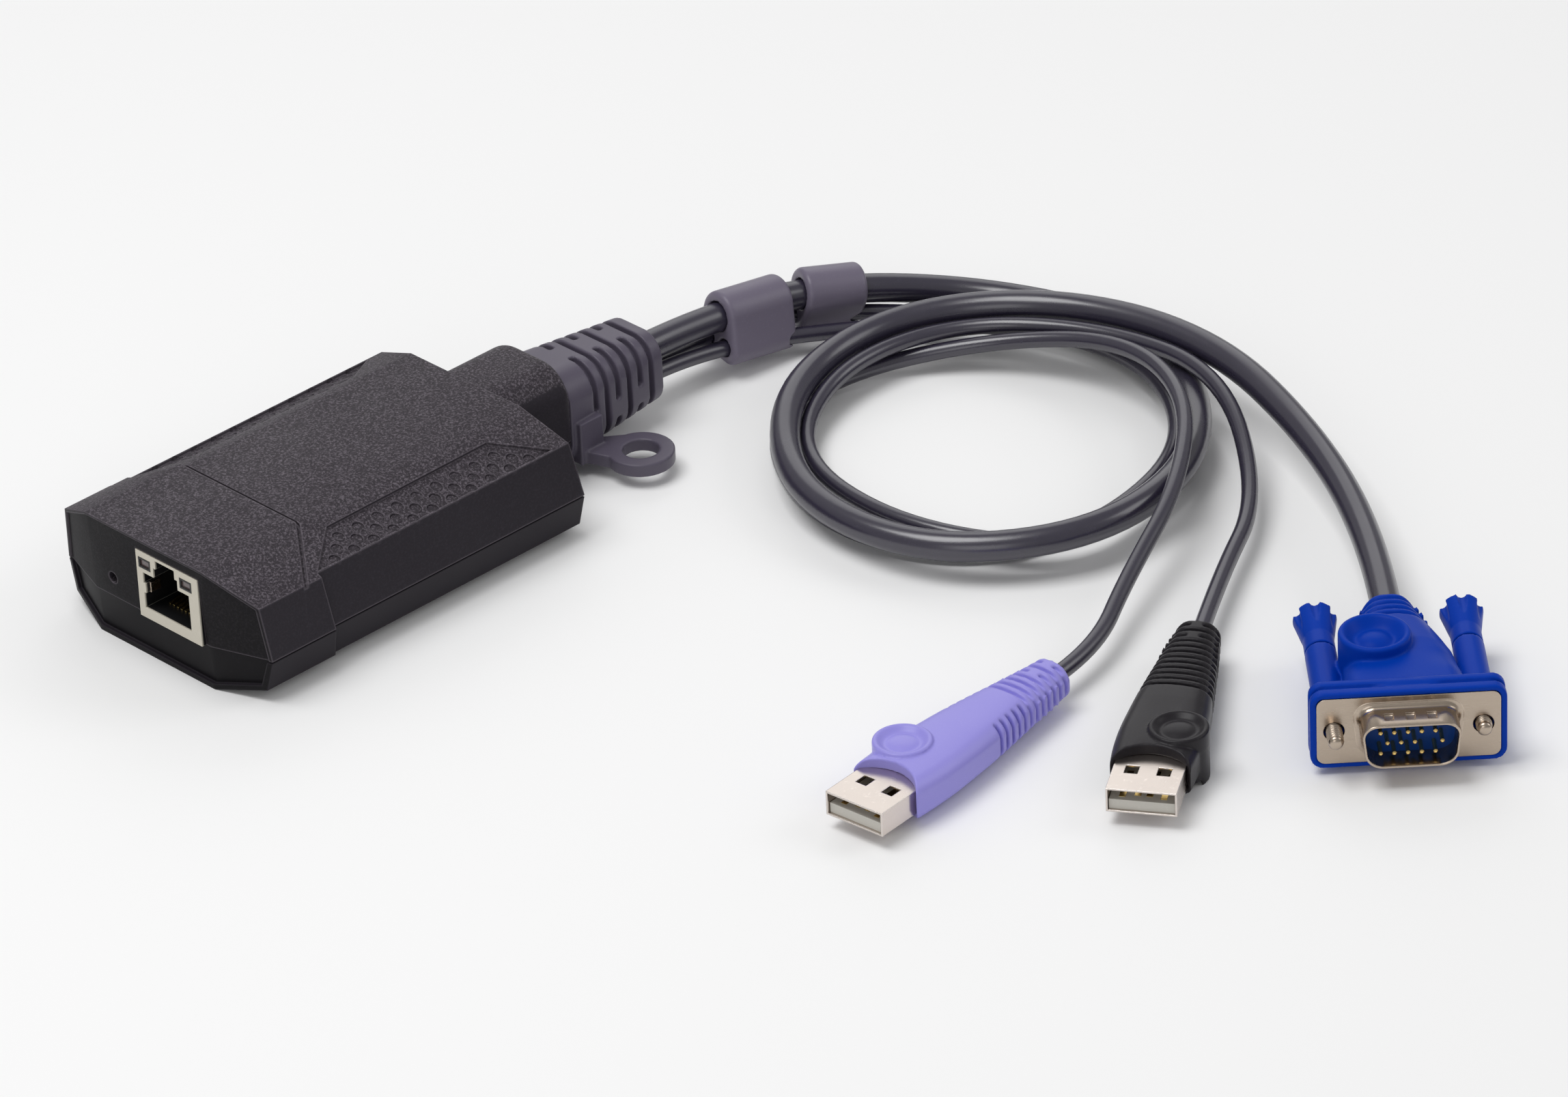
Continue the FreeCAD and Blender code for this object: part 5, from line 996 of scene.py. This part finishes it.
# ------------------------------------------------------------------ video plug metalwork
@dataclass
class VideoPlug:
    """Pressed plate, drawn D-shell, insulator and threaded screws of the video plug."""

    bench: Bench
    face: float = 37.0
    plate: tuple[float, float, float] = (0.8, 30.8, 12.5)
    plate_corner: float = 1.5
    top_half: float = 8.46
    low_half: float = 7.45
    half_height: float = 4.18
    corner: float = 2.5
    flare: float = 1.05
    reach: float = 5.9
    wall: float = 0.42
    screw_offset: float = 12.5
    screw_hole: float = 1.78
    dents: tuple[float, ...] = (-3.6, 0.0, 3.6)
    dent_half: float = 0.75
    dent_depth: float = 0.34
    screw_start: float = 4.1
    screws: tuple[tuple[int, str, float], ...] = ((-1, "left", 41.3), (1, "right", 39.4))

    def drawn(self, name: str, grow: float, steps: list[tuple[float, float]]) -> bpy.types.Object:
        """Draw the D outline out along X.

        Args:
            name: Name of the piece.
            grow: How far the outline stands outside the shell's, in millimetres.
            steps: Inset and distance of each step, in millimetres.

        Returns:
            The drawn piece, closed, in the plug's axes.
        """
        tall, wide = self.half_height + grow, self.top_half + grow
        inset, along = steps[0]
        bpy.ops.mesh.primitive_plane_add(size=2, rotation=(0, math.pi / 2, 0))
        piece = bpy.context.object
        piece.name = name
        bpy.ops.object.transform_apply(location=True, rotation=True, scale=True)
        solo(piece)
        bpy.ops.object.mode_set(mode="EDIT")
        bpy.ops.mesh.select_all(action="SELECT")
        bpy.ops.transform.resize(value=(1, (self.low_half + grow) * MM, tall * MM),
                                 center_override=(0, 0, 0))
        pick(piece, lambda co: co.z > 0)
        ratio = wide / (self.low_half + grow)
        bpy.ops.transform.resize(value=(1, ratio, 1), center_override=(0, 0, 0))
        bpy.ops.mesh.select_all(action="SELECT")
        bpy.ops.mesh.bevel(offset=(self.corner + grow * 0.6) * MM, segments=8,
                           affect="VERTICES")
        bpy.ops.mesh.select_all(action="SELECT")
        bpy.ops.transform.translate(value=(along * MM, 0, 0))
        for next_inset, next_along in steps[1:]:
            bpy.ops.mesh.extrude_region_move(
                TRANSFORM_OT_translate={"value": ((next_along - along) * MM, 0, 0)})
            bpy.ops.transform.resize(
                value=(1, (wide - next_inset) / (wide - inset),
                       (tall - next_inset) / (tall - inset)),
                center_override=(next_along * MM, 0, 0))
            inset, along = next_inset, next_along
        face_outward()
        bpy.ops.object.mode_set(mode="OBJECT")
        return piece

    def shell(self) -> bpy.types.Object:
        """Plate and drawn shell as one piece."""
        thick, wide, tall = self.plate
        bpy.ops.mesh.primitive_cube_add(size=1, location=((self.face - thick / 2) * MM, 0, 0))
        plate = bpy.context.object
        plate.name = "video_plug_shell"
        plate.scale = (thick * MM, wide * MM, tall * MM)
        settle(plate, Matrix())
        bpy.ops.object.mode_set(mode="EDIT")
        bpy.ops.mesh.select_mode(type="EDGE")
        mesh = bmesh.from_edit_mesh(plate.data)
        for edge in mesh.edges:
            run = edge.verts[1].co - edge.verts[0].co
            edge.select = abs(run.x) > 0.9 * run.length
        bmesh.update_edit_mesh(plate.data)
        bpy.ops.mesh.bevel(offset=self.plate_corner * MM, segments=8, affect="EDGES")
        bpy.ops.object.mode_set(mode="OBJECT")
        for side in (-1, 1):
            bore = turned("bore", [(self.screw_hole, -3.0), (self.screw_hole, 3.0)], 40)
            settle(bore, Matrix.Translation((self.face * MM, side * self.screw_offset * MM, 0))
                   @ LAID_ALONG)
            carve(plate, bore)
        grow, front = self.flare, self.face + self.reach
        cup = self.drawn("cup", grow, [
            (0.0, self.face - 0.1), (0.02, self.face + 0.03), (0.45, self.face + 0.12),
            (0.78, self.face + 0.35), (0.97, self.face + 0.72), (grow, self.face + 1.2),
            (grow, front - 0.18), (grow + 0.06, front - 0.04), (grow + 0.18, front),
            (grow + self.wall - 0.1, front), (grow + self.wall, front - 0.12),
            (grow + self.wall, self.face + 0.6)])
        for offset in self.dents:
            dent = bevelled_block(
                "dent",
                (self.face + 2.0, offset - self.dent_half, self.half_height - self.dent_depth),
                (self.face + 4.1, offset + self.dent_half, self.half_height + 1), 0.1)
            carve(cup, dent)
        unite(plate, [cup])
        return plate

    def insulator(self) -> bpy.types.Object:
        """Plastic block that holds the pins."""
        return self.drawn("video_plug_insulator", 0.0, [
            (self.wall - 0.05, self.face - 0.6), (self.wall - 0.05, self.face + 1.0),
            (self.wall + 0.1, self.face + 1.12)])

    def screw(self, name: str, side: int, start: float, tip: float) -> bpy.types.Object:
        """Threaded rod with a domed tip.

        Args:
            name: Name of the piece.
            side: Which side of the plug, -1 or 1.
            start: Where the rod begins, in millimetres from the cord's end.
            tip: Where it ends.

        Returns:
            The rod, in the frame.
        """
        crest, root, pitch = 1.4, 1.14, 0.62
        profile = [(crest, start), (crest, self.face - 3.0)]
        place = self.face - 2.8
        while place < tip - 1.5:
            profile += [(root, place), (root, place + 0.12), (crest, place + 0.34),
                        (crest, place + 0.42)]
            place += pitch
        profile += [(root, place), (1.26, tip - 0.85), (1.24, tip - 0.6), (1.08, tip - 0.33),
                    (0.8, tip - 0.13), (0.42, tip - 0.03), (0.1, tip)]
        rod = turned(name, profile, 32)
        settle(rod, self.bench.place() @ Matrix.Translation((0, side * self.screw_offset * MM, 0))
               @ LAID_ALONG)
        return rod

    def build(self, materials: dict[str, bpy.types.Material]) -> None:
        """Make the metalwork.

        Args:
            materials: Finished materials by name.
        """
        shell = self.shell()
        settle(shell, self.bench.place())
        shade(shell, 40)
        finished(shell, materials["tin"], "housing", "nickel_shell", "vga_plug_shell")
        block = self.insulator()
        settle(block, self.bench.place())
        finished(block, materials["dark_blue"], "housing", "blue_plastic", "vga_plug_insulator")
        for side, word, tip in self.screws:
            rod = self.screw(f"thread_{word}", side, self.screw_start, tip)
            shade(rod, 50)
            finished(rod, materials["tin"], f"thumbscrew_{word}", "screw_steel",
                     f"thumbscrew_{word}_rod")


# ------------------------------------------------------------------ housing details
@dataclass
class Pockets:
    """Shallow floors of the scooped pockets in the two shoulder panels."""

    front: float = -58.0
    ridge_height: float = 23.8
    ridge_half: float = 14.2
    slope: float = 0.4268
    sunk: float = 0.6
    radius: float = 1.08
    pitch: float = 4.56
    rise: float = 0.27
    gap: float = 0.02
    lip_depth: float = 0.05
    rows: tuple[tuple[float, float, int], ...] = (
        (19.7, 27.3, 9), (21.5, 25.3, 10), (23.1, 23.3, 11))

    def floor(self) -> bpy.types.Object:
        """One round floor, cut on the slant, with its low lip at height 0."""
        radius = self.radius - self.gap
        piece = turned("pocket_floor", [(radius, -0.5), (radius, 1.5)], 28)
        with editing(piece):
            bpy.ops.mesh.bisect(plane_co=(0, self.radius * MM, -self.lip_depth * MM),
                                plane_no=Vector((0, self.rise, 1)).normalized(),
                                use_fill=True, clear_outer=True)
            face_outward()
        return piece

    def build(self, materials: dict[str, bpy.types.Material]) -> None:
        """Set a floor in every pocket.

        Args:
            materials: Finished materials by name.
        """
        first = self.floor()
        cosine = 1 / math.sqrt(1 + self.slope ** 2)
        copies = []
        for half, start, count in self.rows:
            lip = (self.ridge_height - self.slope * (half + self.radius - self.ridge_half)
                   - self.sunk * cosine)
            for number in range(count):
                x = self.front + start + number * self.pitch
                for side in (-1, 1):
                    piece = bpy.data.objects.new("pocket", first.data.copy())
                    bpy.context.scene.collection.objects.link(piece)
                    turn = Matrix.Rotation(math.pi if side < 0 else 0.0, 4, "Z")
                    piece.data.transform(Matrix.Translation(
                        (x * MM, side * half * MM, lip * MM)) @ turn)
                    copies.append(piece)
        bpy.data.objects.remove(first)
        unite(copies[0], copies[1:])
        copies[0].name = "cover_pockets"
        finished(copies[0], materials["pocket"], "housing", "cover_plastic")


FINGER_LOW: Point = (-56.95, -0.14, 13.6)
FINGER_HIGH: Point = (-54.7, 0.32, 15.6)
RIM_FRONT, RIM_BACK = -57.72, -57.45
RIM_WIDTH = 0.28
RIM_LAP = 0.05


def port_finger(materials: dict[str, bpy.types.Material]) -> None:
    """Folded metal finger against the far wall of the network port.

    Args:
        materials: Finished materials by name.
    """
    finger = bevelled_block("port_finger", FINGER_LOW, FINGER_HIGH, 0.05)
    finished(finger, materials["tin"], "housing", "nickel_shell")


def lamp_surrounds(nodes: dict[str, bpy.types.Object],
                   materials: dict[str, bpy.types.Material]) -> None:
    """Thin dark rims round the port's two indicator windows.

    Args:
        nodes: Frame pieces by name.
        materials: Finished materials by name.
    """
    for word in ("left", "right"):
        corners = [vertex.co / MM for vertex in nodes["jack_led_" + word].data.vertices]
        low = [min(corner[axis] for corner in corners) for axis in range(3)]
        high = [max(corner[axis] for corner in corners) for axis in range(3)]
        rim = bevelled_block("lamp_surround_" + word,
                             (RIM_FRONT, low[1] - RIM_WIDTH, low[2] - RIM_WIDTH),
                             (RIM_BACK, high[1] + RIM_WIDTH, high[2] + RIM_WIDTH), 0.04)
        carve(rim, bevelled_block("window", (-59, low[1] + RIM_LAP, low[2] + RIM_LAP),
                                  (-56, high[1] - RIM_LAP, high[2] - RIM_LAP), 0.02))
        finished(rim, materials["chip"], "housing", "jack_plastic")


def mouldings(routes: CordSet) -> list[Moulding]:
    """List the moulded pieces.

    Args:
        routes: The cords, whose ends place the plugs.

    Returns:
        The mouldings in the order in which they are made.
    """
    grip_halves = ((0.0, 3.9), (26.0, 6.8), (36.0, 7.35), (45.0, 6.8))
    grip_crown = ((0.0, 0.34), (24.0, 0.30), (36.0, 0.24), (45.0, 0.16))
    grip_dish = ((5.15, 9.45), (5.05, 9.7), (4.8, 9.8), (4.45, 9.78), (4.15, 9.6), (3.5, 9.12),
                 (3.1, 8.98), (2.8, 9.0), (2.4, 9.16), (1.8, 9.34), (1.0, 9.46), (0.1, 9.5))
    hood_dish = ((6.2, 16.5), (6.05, 16.8), (5.75, 16.98), (5.35, 16.95), (5.05, 16.75),
                 (4.1, 15.7), (3.5, 15.2), (3.2, 15.15), (2.8, 15.3), (2.0, 15.75),
                 (1.0, 16.05), (0.1, 16.1))
    video = Bench(routes.thick[-1], routes.thick[-2])
    return [
        Moulding("strain_relief", "rubber", "relief_rubber", voxel=0.22),
        Moulding("cord_clip_near", "clip", "relief_rubber", passes=4),
        Moulding("cord_clip_far", "clip", "relief_rubber", passes=4),
        PlugBody("purple_plug_grip", "violet", "purple_plastic",
                 bench=Bench(routes.purple[-1], routes.purple[-2]), halves=grip_halves,
                 crown=grip_crown, dish=grip_dish),
        PlugBody("black_plug_grip", "black", "black_plug_plastic",
                 bench=Bench(routes.black[-1], routes.black[-2]), halves=grip_halves,
                 crown=grip_crown, dish=grip_dish),
        PlugBody("vga_plug_hood", "blue", "blue_plastic", voxel=0.24, bench=video,
                 halves=((0.0, 4.3), (18.0, 9.3), (34.0, 10.6)),
                 crown=((0.0, 0.40), (8.0, 0.45), (16.0, 0.42), (22.0, 0.26), (29.0, 0.0)),
                 boss_radius=6.2, boss_root=14.9, boss_foot=11.0, dish=hood_dish,
                 brow=(33.6, 5.2, 8.6, 2.2)),
        Moulding("thumbscrew_left_knob", "blue", "blue_plastic", "thumbscrew_left", voxel=0.16),
        Moulding("thumbscrew_right_knob", "blue", "blue_plastic", "thumbscrew_right", voxel=0.16),
    ]


def main() -> None:
    """Build the scene in order."""
    logging.basicConfig(level=logging.INFO, format="%(name)s: %(message)s")
    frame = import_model()
    bpy.ops.object.select_all(action="DESELECT")
    Studio().build()
    groups = {"grain": grain_group(), "handling": handling_group(), "edge": edge_group()}
    materials = {name: finish.build(groups) for name, finish in FINISHES.items()}
    routes = CordSet()
    routes.build(materials)
    dress(frame["nodes"], materials)
    for moulding in mouldings(routes):
        moulding.build(frame["nodes"], materials)
    VideoPlug(Bench(routes.thick[-1], routes.thick[-2])).build(materials)
    Pockets().build(materials)
    port_finger(materials)
    lamp_surrounds(frame["nodes"], materials)
    routes.declare()


if __name__ == "__main__":
    main()
